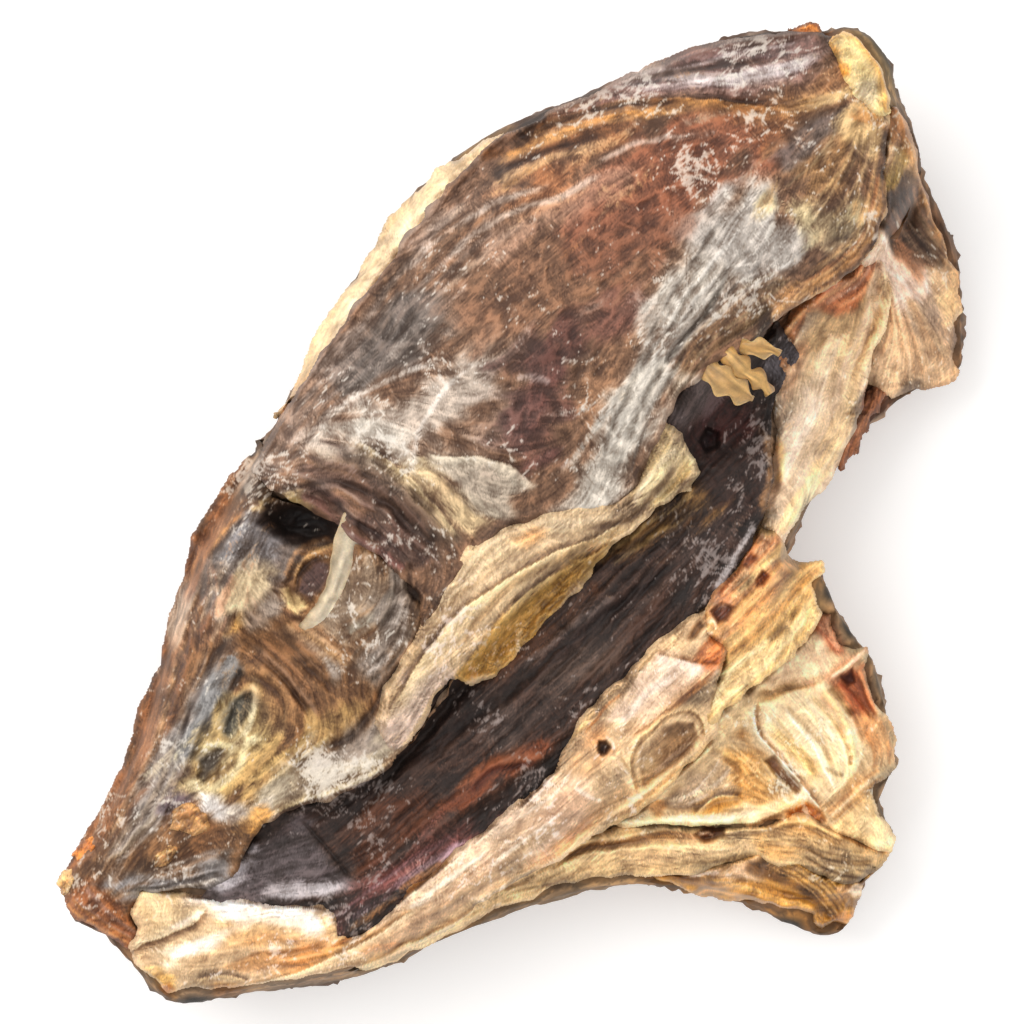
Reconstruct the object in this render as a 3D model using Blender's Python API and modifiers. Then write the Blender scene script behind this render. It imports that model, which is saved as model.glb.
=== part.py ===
"""A dried stockfish: one whole cod head, hung until hard and lying on its right cheek.

The head is one solid, because skin, bone and dried flesh hold together as one piece. It is
built up the way a modeller blocks it out: a mass for the skull, one for the closed mouth, one
for each branch of the lower jaw, webs for the throat and the gill skins, then the eye sockets
and the gill cleft are cut out, and the surface is fused, smoothed and thinned.

Frame, in metres: +X from the snout to the gill covers, +Y from the throat to the crown, and
+Z up through the left cheek. The origin is under the middle of the box, on the table.
"""

import math
from collections import namedtuple

import bmesh
import bpy
import numpy as np
from mathutils import Matrix, Vector

MM = 0.001

# Driving dimensions, in millimetres.
HEAD_LENGTH = 261.0
VOXEL = 1.5
TRIANGLES = 9000
TABLE = 2.0
SMOOTHING = 8

# A station of a limb: a point of its middle line, then its half width across the line in plan
# and its half depth in height.
Station = namedtuple("Station", "x y z across depth")

# The skull with its left cheek and gill cover above and its right cheek below.
SKULL = (
    Station(-130, 24, 37, 8, 7),
    Station(-112, 25, 37, 11, 13),
    Station(-82, 27, 37, 21, 26),
    Station(-50, 35, 38, 30, 38),
    Station(-18, 41, 41.5, 35, 42),
    Station(20, 47, 44, 39, 44.5),
    Station(50, 52, 44.5, 37.5, 45),
    Station(80, 48, 46, 33, 43),
    Station(106, 42, 51, 28, 34),
    Station(127, 38, 55, 17, 22),
)
# The crown's crest of dried skin and bone along the head's midline.
CREST = (
    Station(-60, 56, 42, 5, 6),
    Station(-20, 72, 43, 5, 7),
    Station(15, 84, 44, 5, 7),
    Station(46, 88.5, 45, 5, 7),
    Station(78, 79, 47, 4, 8),
    Station(112, 63, 52, 4, 10),
)
# The horny lobe at the top of the left gill cover's rim.
RIM_LOBE = (
    Station(123, 58, 62, 4, 5),
    Station(127, 50, 64, 4, 7),
    Station(125, 40, 62, 4, 6),
)
# The mouth, shut by a dark skin that lies deeper than the lip and the jaw.
MOUTH = (
    Station(-128, 13, 36, 9, 6),
    Station(-95, 4, 37, 16, 14),
    Station(-55, -6, 37, 22, 21),
    Station(-10, -8, 38, 22, 24),
    Station(30, -4, 38, 20, 24),
    Station(58, 6, 36, 16, 20),
)
# The upper lip: the loose fold of skin over the upper jawbone.
LIP = (
    Station(-100, 16, 52, 4, 4),
    Station(-78, 13, 58, 5, 5),
    Station(-58, 8, 63, 5, 6),
    Station(-30, 13, 70, 6, 7),
    Station(0, 17, 72, 7, 7),
    Station(26, 12, 68, 5, 6),
    Station(42, 14, 62, 3, 5),
)
# The lower jaw's left branch, from the chin to its joint.
NEAR_JAW = (
    Station(-128, 4, 36, 8, 9),
    Station(-106, -3, 38, 12, 14),
    Station(-84, -18, 42, 10, 14),
    Station(-52, -27, 48, 6, 12),
    Station(-22, -27, 53, 8, 10),
    Station(6, -25, 56, 7, 9),
    Station(40, -22, 52, 6, 9),
)
# The lower jaw's right branch, which shows below the left one.
FAR_JAW = (
    Station(-122, 2, 32, 6, 8),
    Station(-92, -18, 31, 8, 10),
    Station(-62, -31, 31, 6, 9),
    Station(-34, -44, 31, 6.5, 9),
    Station(-13, -62, 29, 8, 9),
    Station(3, -79, 26, 10, 8),
    Station(6, -87, 25, 7, 6),
)
# The rounded tip of muscle that hangs from the throat beside the right branch.
THROAT_TIP = (
    Station(11, -68, 29, 4, 5),
    Station(14, -77, 27, 5, 6),
    Station(13, -86, 25, 4, 5),
)
# The flap of skin and flesh that hangs outside the right branch.
JAW_FLAP = (
    Station(-22, -56, 22, 5, 5),
    Station(-11, -73, 20, 6, 6),
    Station(-3, -92.6, 19, 6, 6),
)
# The muscle that runs back from the left branch's joint to the torn edge.
JAW_MUSCLE = (
    Station(-4, -34, 50, 4, 5),
    Station(16, -34, 52, 5, 6),
    Station(40, -29, 48, 4, 5),
)
# The right gill cover, which lies on the table and reaches past the left one.
FAR_COVER = (
    Station(18, 32, 16, 28, 16),
    Station(46, 30, 15, 33, 16),
    Station(74, 28, 15, 34, 15),
    Station(98, 21, 17, 31, 12),
    Station(117, 19, 22, 17, 5),
)
SLENDER_LIMBS = (
    CREST,
    RIM_LOBE,
    LIP,
    NEAR_JAW,
    FAR_JAW,
    THROAT_TIP,
    JAW_FLAP,
    JAW_MUSCLE,
    FAR_COVER,
)
# Each web is a sheet of skin through three or four rails of points, thickened downwards.
THROAT_WEB = (
    ((-66, -24, 46), (-34, -28, 53), (0, -29, 55), (45, -28, 49)),
    ((-60, -31, 40), (-28, -38, 43), (4, -42, 44), (41, -39, 43)),
    ((-52, -36, 36), (-20, -49, 36), (8, -58, 38), (39, -53, 39)),
    ((-44, -41, 33), (-14, -60, 31), (8, -77, 29), (28, -72, 34)),
)
GILL_WEB = (
    ((42, 12, 55), (70, 18, 50), (96, 26, 42), (121, 32, 34)),
    ((44, -2, 52), (68, 5, 46), (94, 10, 38), (119, 17, 29)),
    ((42, -15, 48), (64, -7, 40), (90, -3, 33), (113, 1, 25)),
    ((38, -21, 44), (60, -14, 34), (80, -12, 28), (98, -17, 21)),
)
WEB_THICKNESS = 9.0
# Hollows: middle, half sizes, lean off the vertical and turn about it, in degrees.
Hollow = namedtuple("Hollow", "x y z length width depth lean turn")
HOLLOWS = {
    "near_socket": Hollow(-44, 50, 76, 19, 14, 22, -38, 20),
    "far_socket": Hollow(-46, 48, 2, 14, 11, 10, 0, 20),
    "gill_cleft": Hollow(126, 34, 38, 28, 34, 8, 8, -14),
}


def spline(keys, count):
    """Rows on the smooth Catmull-Rom curve through the rows of keys, evenly spaced between them."""
    rows = np.array(keys, float)
    ends = np.vstack([2 * rows[0] - rows[1], rows, 2 * rows[-1] - rows[-2]])
    found = []
    for place in np.linspace(0, len(rows) - 1, count):
        k = min(int(place), len(rows) - 2)
        t = place - k
        a, b, c, d = ends[k : k + 4]
        found.append(
            0.5 * (2 * b + (c - a) * t + (2 * a - 5 * b + 4 * c - d) * t**2 + (3 * b - a - 3 * c + d) * t**3)
        )
    return np.array(found)


def add_object(name, bm, collection):
    """A new object that takes over the bmesh, in millimetres until the last step."""
    bmesh.ops.recalc_face_normals(bm, faces=bm.faces)
    mesh = bpy.data.meshes.new(name)
    bm.to_mesh(mesh)
    bm.free()
    obj = bpy.data.objects.new(name, mesh)
    collection.objects.link(obj)
    return obj


def squared(value, power):
    """A cosine or sine pushed out towards a box's section, as a superellipse has it."""
    return math.copysign(abs(value) ** (2 / power), value)


def add_limb(bm, stations, power=2.3, sides=28, steps_per_key=7):
    """A loft of upright rings through the stations, with rounded ends, added to the bmesh."""
    rows = spline(stations, steps_per_key * (len(stations) - 1) + 1)
    rows[:, 3:] = np.maximum(rows[:, 3:], 0.5)
    tangents = np.gradient(rows[:, :2], axis=0)
    count = len(rows)
    rings = []
    for i, (x, y, z, across, depth) in enumerate(rows):
        # The ends close like a blunt egg instead of stopping in a flat disc.
        end = min(i, count - 1 - i) / 3
        swell = math.sqrt(1 - (1 - min(end, 1)) ** 2) * 0.9 + 0.1
        along = Vector(tangents[i]).normalized()
        side = Vector((-along.y, along.x))
        made = bmesh.ops.create_circle(bm, radius=1, segments=sides)["verts"]
        for k, v in enumerate(made):
            turn = math.tau * k / sides
            out = side * across * swell * squared(math.cos(turn), power)
            up = depth * swell * squared(math.sin(turn), power)
            v.co = (x + out.x, y + out.y, z + up)
        rings.append(made)
    for a, b in zip(rings, rings[1:]):
        edges = {e for v in (*a, *b) for e in v.link_edges if e.other_vert(v) in (a if v in a else b)}
        bmesh.ops.bridge_loops(bm, edges=list(edges))
    for ring in (rings[0], rings[-1]):
        bmesh.ops.contextual_create(bm, geom=ring)


def add_web(bm, rails, thickness, columns=24):
    """A sheet through the rails with its underside a thickness below, closed round its rim."""
    lines = np.array([spline(rail, columns) for rail in rails])
    rows = 5 * (len(rails) - 1) + 1
    surface = np.array([spline(lines[:, c], rows) for c in range(columns)])
    made = bmesh.ops.create_grid(bm, x_segments=columns - 1, y_segments=rows - 1, size=1)["verts"]
    for v in made:
        column = round((v.co.x + 1) / 2 * (columns - 1))
        row = round((v.co.y + 1) / 2 * (rows - 1))
        v.co = surface[column, row]
    faces = list({f for v in made for f in v.link_faces})
    grown = bmesh.ops.extrude_face_region(bm, geom=faces, use_keep_orig=True)["geom"]
    lower = [g for g in grown if isinstance(g, bmesh.types.BMVert)]
    bmesh.ops.translate(bm, vec=(0, 0, -thickness), verts=lower)


def modifier(obj, kind, **settings):
    """Adds a live modifier with its settings."""
    made = obj.modifiers.new(kind.title(), kind)
    for name, value in settings.items():
        setattr(made, name, value)
    return made


def flattened(obj):
    """Puts the evaluated shape in place of the object's mesh and drops its modifiers."""
    graph = bpy.context.evaluated_depsgraph_get()
    mesh = bpy.data.meshes.new_from_object(obj.evaluated_get(graph))
    obj.modifiers.clear()
    obj.data = mesh
    return mesh


def cutter(name, hollow, collection):
    """An egg-shaped cutter for one hollow, which is not a part of the object."""
    bm = bmesh.new()
    bmesh.ops.create_uvsphere(bm, u_segments=32, v_segments=20, radius=1)
    bmesh.ops.scale(bm, vec=(hollow.length, hollow.width, hollow.depth), verts=bm.verts)
    lean = Matrix.Rotation(math.radians(hollow.lean), 3, "Y")
    turn = Matrix.Rotation(math.radians(hollow.turn), 3, "Z")
    bmesh.ops.rotate(bm, matrix=turn @ lean, verts=bm.verts)
    bmesh.ops.translate(bm, vec=(hollow.x, hollow.y, hollow.z), verts=bm.verts)
    obj = add_object(name, bm, collection)
    obj.hide_render = True
    obj.display_type = "WIRE"
    return obj


def table_cutter(collection):
    """The slab that planes the right cheek flat where the head lies on the table."""
    bm = bmesh.new()
    bmesh.ops.create_cube(bm, size=2 * HEAD_LENGTH)
    bmesh.ops.translate(bm, vec=(0, 0, TABLE - HEAD_LENGTH), verts=bm.verts)
    obj = add_object("table_cutter", bm, collection)
    obj.hide_render = True
    obj.display_type = "WIRE"
    return obj


def head(collection, cutters):
    """Joins every mass into one skin, cuts the hollows and leaves one closed solid."""
    bm = bmesh.new()
    for stations in (SKULL, MOUTH):
        add_limb(bm, stations)
    for stations in SLENDER_LIMBS:
        add_limb(bm, stations, power=2.0)
    for rails in (THROAT_WEB, GILL_WEB):
        add_web(bm, rails, WEB_THICKNESS)
    obj = add_object("stockfish_head", bm, collection)
    modifier(obj, "REMESH", mode="VOXEL", voxel_size=VOXEL)
    for name, hollow in HOLLOWS.items():
        modifier(obj, "BOOLEAN", operation="DIFFERENCE", object=cutter(name, hollow, cutters))
    modifier(obj, "REMESH", mode="VOXEL", voxel_size=VOXEL)
    modifier(obj, "SMOOTH", factor=0.5, iterations=SMOOTHING)
    mesh = flattened(obj)
    share = TRIANGLES / sum(len(p.vertices) - 2 for p in mesh.polygons)
    modifier(obj, "DECIMATE", ratio=share)
    modifier(obj, "BOOLEAN", operation="DIFFERENCE", object=table_cutter(cutters))
    return obj


def settle(obj, cutters):
    """Turns millimetres to metres and puts the origin on the table, under the middle of the box."""
    mesh = flattened(obj)
    places = np.array([v.co for v in mesh.vertices])
    low, high = places.min(0), places.max(0)
    middle = (low + high) / 2
    mesh.transform(Matrix.Translation((-middle[0], -middle[1], -low[2])))
    mesh.transform(Matrix.Scale(MM, 4))
    for thing in cutters.objects:
        thing.data.transform(Matrix.Translation((-middle[0], -middle[1], -low[2])))
        thing.data.transform(Matrix.Scale(MM, 4))


def skin_material():
    """Dried skin, matt and brown, as the one finish of the block model."""
    made = bpy.data.materials.new("dried_skin")
    made.use_nodes = True
    shader = made.node_tree.nodes["Principled BSDF"]
    shader.inputs["Base Color"].default_value = (0.25, 0.16, 0.09, 1)
    shader.inputs["Roughness"].default_value = 0.7
    shader.inputs["Metallic"].default_value = 0.0
    return made


def new_collection(name):
    """A collection in the scene."""
    made = bpy.data.collections.new(name)
    bpy.context.scene.collection.children.link(made)
    return made


def main():
    """Clears the scene and builds the head."""
    for obj in list(bpy.data.objects):
        bpy.data.objects.remove(obj)
    parts = new_collection("stockfish")
    cutters = new_collection("cutters")
    obj = head(parts, cutters)
    settle(obj, cutters)
    obj.data.materials.clear()
    obj.data.materials.append(skin_material())


main()
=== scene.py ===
"""The looks of a dried stockfish head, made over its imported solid.

The head is drawn on a fine net over its shown side: each part of it adds its folds, cords and
colours to that net, and is then cut out of it as a piece of dried skin, bone or membrane.
"""

import math

import bmesh
import bpy
import numpy as np
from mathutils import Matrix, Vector, noise
from mathutils.bvhtree import BVHTree


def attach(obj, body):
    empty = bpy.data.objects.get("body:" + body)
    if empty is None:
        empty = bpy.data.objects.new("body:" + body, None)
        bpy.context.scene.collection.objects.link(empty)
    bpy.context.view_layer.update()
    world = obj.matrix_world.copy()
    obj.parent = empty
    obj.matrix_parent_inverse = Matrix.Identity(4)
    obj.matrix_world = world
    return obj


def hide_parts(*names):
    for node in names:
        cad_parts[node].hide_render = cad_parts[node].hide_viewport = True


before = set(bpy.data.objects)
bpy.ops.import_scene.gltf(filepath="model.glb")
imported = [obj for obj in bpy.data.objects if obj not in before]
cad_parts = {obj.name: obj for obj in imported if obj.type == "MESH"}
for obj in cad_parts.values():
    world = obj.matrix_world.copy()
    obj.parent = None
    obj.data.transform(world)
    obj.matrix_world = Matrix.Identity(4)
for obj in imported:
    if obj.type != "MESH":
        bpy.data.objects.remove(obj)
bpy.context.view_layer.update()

# ------------------------------------------------------------------ snout and eye socket
# Skin shrunk onto the snout's bones in long brown and blue-grey pleats, with the empty eye socket
# behind it, its inside painted dark as shade. It is leathery skin over bone, held by nothing but its
# own drying. It is the first skin drawn, so the net that all of them are drawn on starts in this section.
MM = 0.001
# The net, in millimetres: the space between its points, and how far it reaches from the middle.
STEP = 0.31
HALF_LENGTH = 134
HALF_WIDTH = 97
rng = np.random.default_rng(11)
across = np.arange(-HALF_LENGTH, HALF_LENGTH, STEP)
along = np.arange(-HALF_WIDTH, HALF_WIDTH, STEP)
X, Y = (a.astype(np.float32) for a in np.meshgrid(across, along))
ROWS, COLS = X.shape


def heights_from_above(node, spacing):
    """The solid's height under each grid point, carried on past its outline."""
    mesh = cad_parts[node].data
    tree = BVHTree.FromPolygons([v.co for v in mesh.vertices], [p.vertices for p in mesh.polygons])
    stride = max(1, round(spacing / STEP))
    found = np.full(X[::stride, ::stride].shape, np.nan)
    down = Vector((0, 0, -1))
    for r, y in enumerate(along[::stride]):
        for c, x in enumerate(across[::stride]):
            hit = tree.ray_cast(Vector((x * MM, y * MM, 0.2)), down)[0]
            if hit:
                found[r, c] = hit.z / MM
    inside = ~np.isnan(found)
    known = inside.copy()
    for _ in range(12):
        total, count = np.zeros(found.shape), np.zeros(found.shape)
        for shift in ((0, 1), (0, -1), (1, 0), (-1, 0)):
            total += np.roll(np.where(known, found, 0), shift, (0, 1))
            count += np.roll(known, shift, (0, 1))
        grown = ~known & (count > 0)
        found[grown] = total[grown] / count[grown]
        known |= grown
    found[~known] = 30
    r, c = np.arange(ROWS) / stride, np.arange(COLS) / stride
    rows = np.array([np.interp(c, np.arange(found.shape[1]), row) for row in found])
    full = np.array([np.interp(r, np.arange(found.shape[0]), col) for col in rows.T]).T
    mask = np.repeat(np.repeat(inside, stride, 0), stride, 1)[:ROWS, :COLS]
    return full.astype(np.float32), mask


base, covered = heights_from_above("stockfish_head", 0.8)


def blur(field, size):
    """Softens a field over about size millimetres, with three passes of a running mean."""
    reach = max(1, round(size / STEP / 2))
    for axis in (0, 1, 0, 1, 0, 1):
        ends = [(reach + 1, reach) if a == axis else (0, 0) for a in range(field.ndim)]
        total = np.cumsum(np.pad(field, ends, mode="edge"), axis=axis, dtype=np.float64)
        upper = np.take(total, range(2 * reach + 1, total.shape[axis]), axis=axis)
        lower = np.take(total, range(0, total.shape[axis] - 2 * reach - 1), axis=axis)
        field = ((upper - lower) / (2 * reach + 1)).astype(np.float32)
    return field


base = blur(base, 1.2)
bare = blur((~covered).astype(np.float32), 5)

RUNS = [
    [(-122, 28), (-100, 35), (-80, 46), (-60, 60), (-40, 70), (-10, 78), (30, 86), (55, 86)],
    [(-118, 26), (-95, 30), (-75, 41), (-62, 48)],
    [(-20, 76), (20, 80), (60, 76), (95, 66), (122, 54)],
    [(-5, 68), (40, 70), (75, 64), (112, 48)],
    [(20, 52), (60, 52), (95, 48), (118, 44)],
    [(0, 60), (12, 50), (25, 38)],
    [(70, 82), (90, 70), (112, 52)],
    [(-33, 66), (-23, 52), (-20, 30)],
    [(-25, 68), (-13, 52), (-12, 30)],
    [(-14, 65), (-5, 50), (-3, 28)],
    [(12, 14), (30, 23), (55, 33), (84, 42)],
    [(20, 18), (50, 25), (80, 30), (100, 36)],
    [(55, 21), (80, 17), (100, 17), (116, 26), (124, 38)],
    [(-60, 42), (-57, 30), (-58, 16)],
    [(-50, 42), (-47, 28), (-52, 15)],
    [(-46, 24), (-32, 26), (-22, 34)],
    [(-90, 30), (-78, 27), (-66, 33)],
    [(-80, 20), (-66, 22), (-61, 32), (-66, 40)],
    [(-85, 12), (-55, 6), (-30, 9), (0, 13), (25, 9), (42, 12)],
    [(-30, 20), (-5, 24), (15, 17), (36, 18)],
    [(-100, 8), (-75, -2), (-40, -6), (0, -6), (45, -4)],
    [(-70, -14), (-35, -16), (10, -12), (40, -10)],
    [(-120, 16), (-104, 4), (-88, -14)],
    [(-126, 2), (-104, -8), (-84, -20), (-50, -25), (0, -22), (38, -18)],
    [(-118, -9), (-80, -29), (-50, -41), (-20, -57), (6, -86)],
    [(-28, -56), (-14, -78), (-4, -91)],
    [(-38, -38), (-10, -41), (16, -42)],
    [(-24, -43), (-12, -54), (6, -66)],
    [(4, -42), (6, -55), (6, -68)],
    [(12, -44), (13, -58), (12, -74)],
    [(25, -46), (24, -60), (18, -72)],
    [(4, -35), (20, -33), (40, -28)],
    [(42, -17), (66, -9), (98, 9)],
    [(58, 4), (78, 12), (98, 14)],
    [(97, 6), (94, -4), (84, -13)],
    [(104, 12), (104, 0), (99, -12)],
    [(114, 28), (110, 8), (106, -8)],
]


def spline(keys, spacing):
    """Points on the smooth Catmull-Rom curve through keys, about spacing millimetres apart."""
    rows = np.array(keys, float)
    ends = np.vstack([2 * rows[0] - rows[1], rows, 2 * rows[-1] - rows[-2]])
    found = []
    for k in range(len(rows) - 1):
        a, b, c, d = ends[k : k + 4]
        count = max(2, int(np.linalg.norm((c - b)[:2]) / spacing))
        for t in np.arange(count) / count:
            found.append(b + 0.5 * t * (c - a + t * (2 * a - 5 * b + 4 * c - d + t * (3 * (b - c) + d - a))))
    return np.array(found + [rows[-1]])


def flow_of(runs, reach):
    """The direction of the fibres at every point, weighed from the nearest runs."""
    stride = 4
    x, y = X[::stride, ::stride], Y[::stride, ::stride]
    twice = np.full(x.shape, 0.02, np.complex64)
    for keys in runs:
        line = spline(keys, 3)
        step = np.gradient(line, axis=0)
        angle = np.arctan2(step[:, 1], step[:, 0])
        away = (x[..., None] - line[:, 0]) ** 2 + (y[..., None] - line[:, 1]) ** 2
        nearest = away.argmin(-1)
        weight = np.exp(-away.min(-1) / reach**2) + 0.02 / (1 + away.min(-1) / reach**2)
        twice += weight * np.exp(2j * angle[nearest])
    fine = np.repeat(np.repeat(twice, stride, 0), stride, 1)[:ROWS, :COLS]
    return np.arctan2(blur(fine.imag, 4), blur(fine.real, 4)) / 2


flow = flow_of(RUNS, 7)


def mottle(size):
    """Seeded cloudy noise with patches of about size millimetres and a spread of one."""
    field = blur(rng.normal(size=X.shape).astype(np.float32), size)
    return (field - field.mean()) / field.std()


warp_x = 0.6 * mottle(13) + 0.2 * mottle(3)
warp_y = 0.6 * mottle(13) + 0.2 * mottle(3)
bent = flow + 0.16 * mottle(6)
wild = flow + 0.55 * mottle(5)


def combed(field, angle, length):
    """The field drawn out along the fibres over length millimetres."""
    total = field.copy()
    count = int(length / STEP / 2)
    for way in (1, -1):
        r, c = np.mgrid[0:ROWS, 0:COLS].astype(np.float32)
        dx, dy = way * np.cos(angle), way * np.sin(angle)
        for _ in range(count):
            c = np.clip(c + dx, 0, COLS - 1)
            r = np.clip(r + dy, 0, ROWS - 1)
            ri, ci = np.rint(r).astype(int), np.rint(c).astype(int)
            total += field[ri, ci]
            turn = angle[ri, ci]
            nx, ny = np.cos(turn), np.sin(turn)
            keep = np.where(nx * dx + ny * dy < 0, -1, 1)
            dx, dy = nx * keep, ny * keep
    total /= 2 * count + 1
    return (total - total.mean()) / total.std()


strand = combed(rng.normal(size=X.shape).astype(np.float32), bent, 9)
streak = combed(mottle(1.2), bent, 16)
wrinkle = combed(mottle(2.6), flow, 22)
flecks = np.clip(combed((rng.random(X.shape) > 0.98).astype(np.float32), wild, 1.8), 0, 2.5)
hairs = np.clip(combed((rng.random(X.shape) > 0.995).astype(np.float32), flow + 0.8 * mottle(11), 4.5), 0,
                2.2)
grit = rng.normal(size=X.shape).astype(np.float32)
cloud = mottle(7)
blotch = combed(mottle(3), bent, 5)
crepe = combed(mottle(1.0), wild, 1.5)
fuzz = combed(rng.normal(size=X.shape).astype(np.float32), flow + 1.0 * mottle(4), 1.5)
veins = combed(np.exp(-((mottle(2.0) / 0.3) ** 2)), wild, 1.8)
lace = combed(np.exp(-((mottle(1.0) / 0.25) ** 2)), wild, 0.9)

# The net's records: height over the solid in millimetres, colour, how resinous it is, and the top of
# what has been laid there so far.
relief = np.zeros(X.shape, np.float32)
paint = np.zeros(X.shape + (3,), np.float32)
gloss = np.zeros(X.shape, np.float32)
crust = np.full(X.shape, np.nan, np.float32)


def to_linear(colour):
    """sRGB values from 0 to 1 as linear ones."""
    return np.where(colour <= 0.04045, colour / 12.92, ((colour + 0.055) / 1.055) ** 2.4)


def add(nodes, links, kind, settings=None, **inputs):
    """Adds one shader node with its settings; each input is a value or another node's output."""
    node = nodes.new(kind)
    for key, value in (settings or {}).items():
        setattr(node, key, value)
    for key, value in inputs.items():
        socket = node.inputs[int(key[1:])] if key[0] == "_" else node.inputs[key.replace("_", " ")]
        if isinstance(value, bpy.types.NodeSocket):
            links.new(value, socket)
        else:
            socket.default_value = value
    return node


def dried(name, pore=0.9, depth=0.25, dull=0.74, shiny=0.3, glow=0.0):
    """A dried tissue in its piece's colours, with a grain of pore millimetres and glossier resinous spots."""
    made = bpy.data.materials.new(name)
    made.use_nodes = True
    nodes, links = made.node_tree.nodes, made.node_tree.links
    shader = nodes["Principled BSDF"]
    colour = add(nodes, links, "ShaderNodeAttribute", {"attribute_name": "dried_colour"})
    resin = add(nodes, links, "ShaderNodeAttribute", {"attribute_name": "resin"})
    where = add(nodes, links, "ShaderNodeTexCoord")
    grain = add(nodes, links, "ShaderNodeTexNoise", Vector=where.outputs["Object"], Scale=1000 / pore,
                Detail=4.0, Roughness=0.65)
    cloud = add(nodes, links, "ShaderNodeTexNoise", Vector=where.outputs["Object"], Scale=1000 / (7 * pore),
                Detail=3.0)
    spread = add(nodes, links, "ShaderNodeMapRange", _0=grain.outputs["Fac"], _1=0.3, _2=0.7, _3=0.86,
                 _4=1.12)
    drift = add(nodes, links, "ShaderNodeMapRange", _0=cloud.outputs["Fac"], _1=0.3, _2=0.7, _3=0.93, _4=1.06)
    both = add(nodes, links, "ShaderNodeMath", {"operation": "MULTIPLY"}, _0=spread.outputs[0],
               _1=drift.outputs[0])
    toned = add(nodes, links, "ShaderNodeVectorMath", {"operation": "SCALE"}, _0=colour.outputs["Color"],
                Scale=both.outputs[0])
    links.new(toned.outputs[0], shader.inputs["Base Color"])
    rough = add(nodes, links, "ShaderNodeMapRange", _0=resin.outputs["Fac"], _1=0.0, _2=1.0, _3=dull,
                _4=shiny)
    links.new(rough.outputs[0], shader.inputs["Roughness"])
    relief_of = add(nodes, links, "ShaderNodeBump", Height=grain.outputs["Fac"], Strength=0.6,
                    Distance=depth * MM)
    links.new(relief_of.outputs[0], shader.inputs["Normal"])
    shader.inputs["Specular IOR Level"].default_value = 0.45
    shader.inputs["Subsurface Weight"].default_value = glow
    shader.inputs["Subsurface Radius"].default_value = (0.004, 0.002, 0.001)
    shader.inputs["Subsurface Scale"].default_value = 0.5
    return made


# Fish skin cured by wind and frost, tight and leathery, with the pits of its scales still in it,
# under a millimetre wide. It looks matt and dusty, with a soft gleam only where it is resinous.
skin_finish = dried("weathered fish skin", pore=0.8, depth=0.22, dull=0.72, shiny=0.35)
snout_edge = [
    (-30, 70), (-28, 76.6), (-40, 73.6), (-50, 70.5), (-60, 64.8), (-70, 58.5), (-80, 52.5), (-90, 48),
    (-100, 41.5), (-110, 38), (-117, 36.5), (-121, 35), (-128.5, 33), (-130.5, 23), (-129, 12),
    (-127, 7), (-122, 8), (-121, 15), (-115, 18), (-108, 13), (-104, 9), (-98, 8.5), (-90, 11),
    (-85, 12), (-78, 9), (-68, 4.3), (-60, 2), (-55, 1.3), (-49, 3), (-46, 8), (-40, 13), (-33, 17),
    (-26, 21), (-24, 30), (-24, 40), (-26, 50), (-31, 57), (-35, 64),
]


def shade_of(code):
    """An sRGB hex colour as three numbers from 0 to 1."""
    return np.array([int(code[k : k + 2], 16) for k in (0, 2, 4)], np.float32) / 255


def colour_in(at, mask, code, cover):
    """Mixes a colour into the net where the mask says."""
    share = (mask * cover)[..., None]
    paint[at] = paint[at] * (1 - share) + shade_of(code) * share


def window(points, reach):
    """The rows and columns of the net within reach of some points."""
    low, high = points.min(0) - reach - 3, points.max(0) + reach + 3
    r = slice(max(0, int((low[1] - along[0]) / STEP)), max(1, int((high[1] - along[0]) / STEP) + 2))
    c = slice(max(0, int((low[0] - across[0]) / STEP)), max(1, int((high[0] - across[0]) / STEP) + 2))
    return r, c


def within(outline, waver=1.0, reach=4):
    """Around an outline: the net's window and the distance to the edge, positive inside."""
    points = np.array(outline, np.float32)
    at = window(points, reach)
    x, y = X[at] + waver * warp_x[at], Y[at] + waver * warp_y[at]
    away, odd = np.full(x.shape, 1e9, np.float32), np.zeros(x.shape, bool)
    for (ax, ay), (bx, by) in zip(points, np.roll(points, -1, 0)):
        t = np.clip(((x - ax) * (bx - ax) + (y - ay) * (by - ay)) / ((bx - ax) ** 2 + (by - ay) ** 2), 0, 1)
        away = np.minimum(away, (x - ax - t * (bx - ax)) ** 2 + (y - ay - t * (by - ay)) ** 2)
        crosses = (ay > y) != (by > y)
        odd ^= crosses & (x < ax + (y - ay) * (bx - ax) / (by - ay + 1e-9))
    return at, np.where(odd, 1, -1) * np.sqrt(away)


def soft_step(value):
    """0 below 0, 1 above 1 and smooth between."""
    value = np.clip(value, 0, 1)
    return value * value * (3 - 2 * value)


def patch(outline, code, soft=2.0, cover=1.0, raised=0.0, ragged=1.0, shine=0.0):
    """An area of one colour whose edge frays along the fibres, raised or sunk as a whole."""
    at, edge = within(outline, reach=1.5 * soft + 4)
    fray = ragged * ((0.3 + 0.35 * soft) * streak[at] + 0.4 * soft * blotch[at] + 0.15 * soft * fuzz[at])
    mask = soft_step((edge + fray) / (1.9 * soft) + 0.5) if ragged else soft_step(edge / soft + 1.3)
    colour_in(at, mask * (1 - 0.3 * soft_step(0.5 - 0.5 * blotch[at] - edge / 8)), code, cover)
    relief[at] += raised * soft_step(edge / max(soft, 1.2) + 0.5)
    gloss[at] = np.maximum(gloss[at], shine * mask)


patch(snout_edge, "78573b", 2.5, ragged=0)
patch([(-131, 34), (-100, 43), (-60, 67), (-36, 76), (-35, 68), (-55, 63), (-75, 51), (-100, 36),
       (-118, 30)], "7d5234", 3)


def tapered(place, fade):
    """Full along a curve, and fading out towards both of its ends."""
    return soft_step(place / fade) * soft_step((1 - place) / fade) if fade else 1.0


# The space between the points that stand for a drawn curve, in millimetres.
PACE = 0.9


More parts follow.
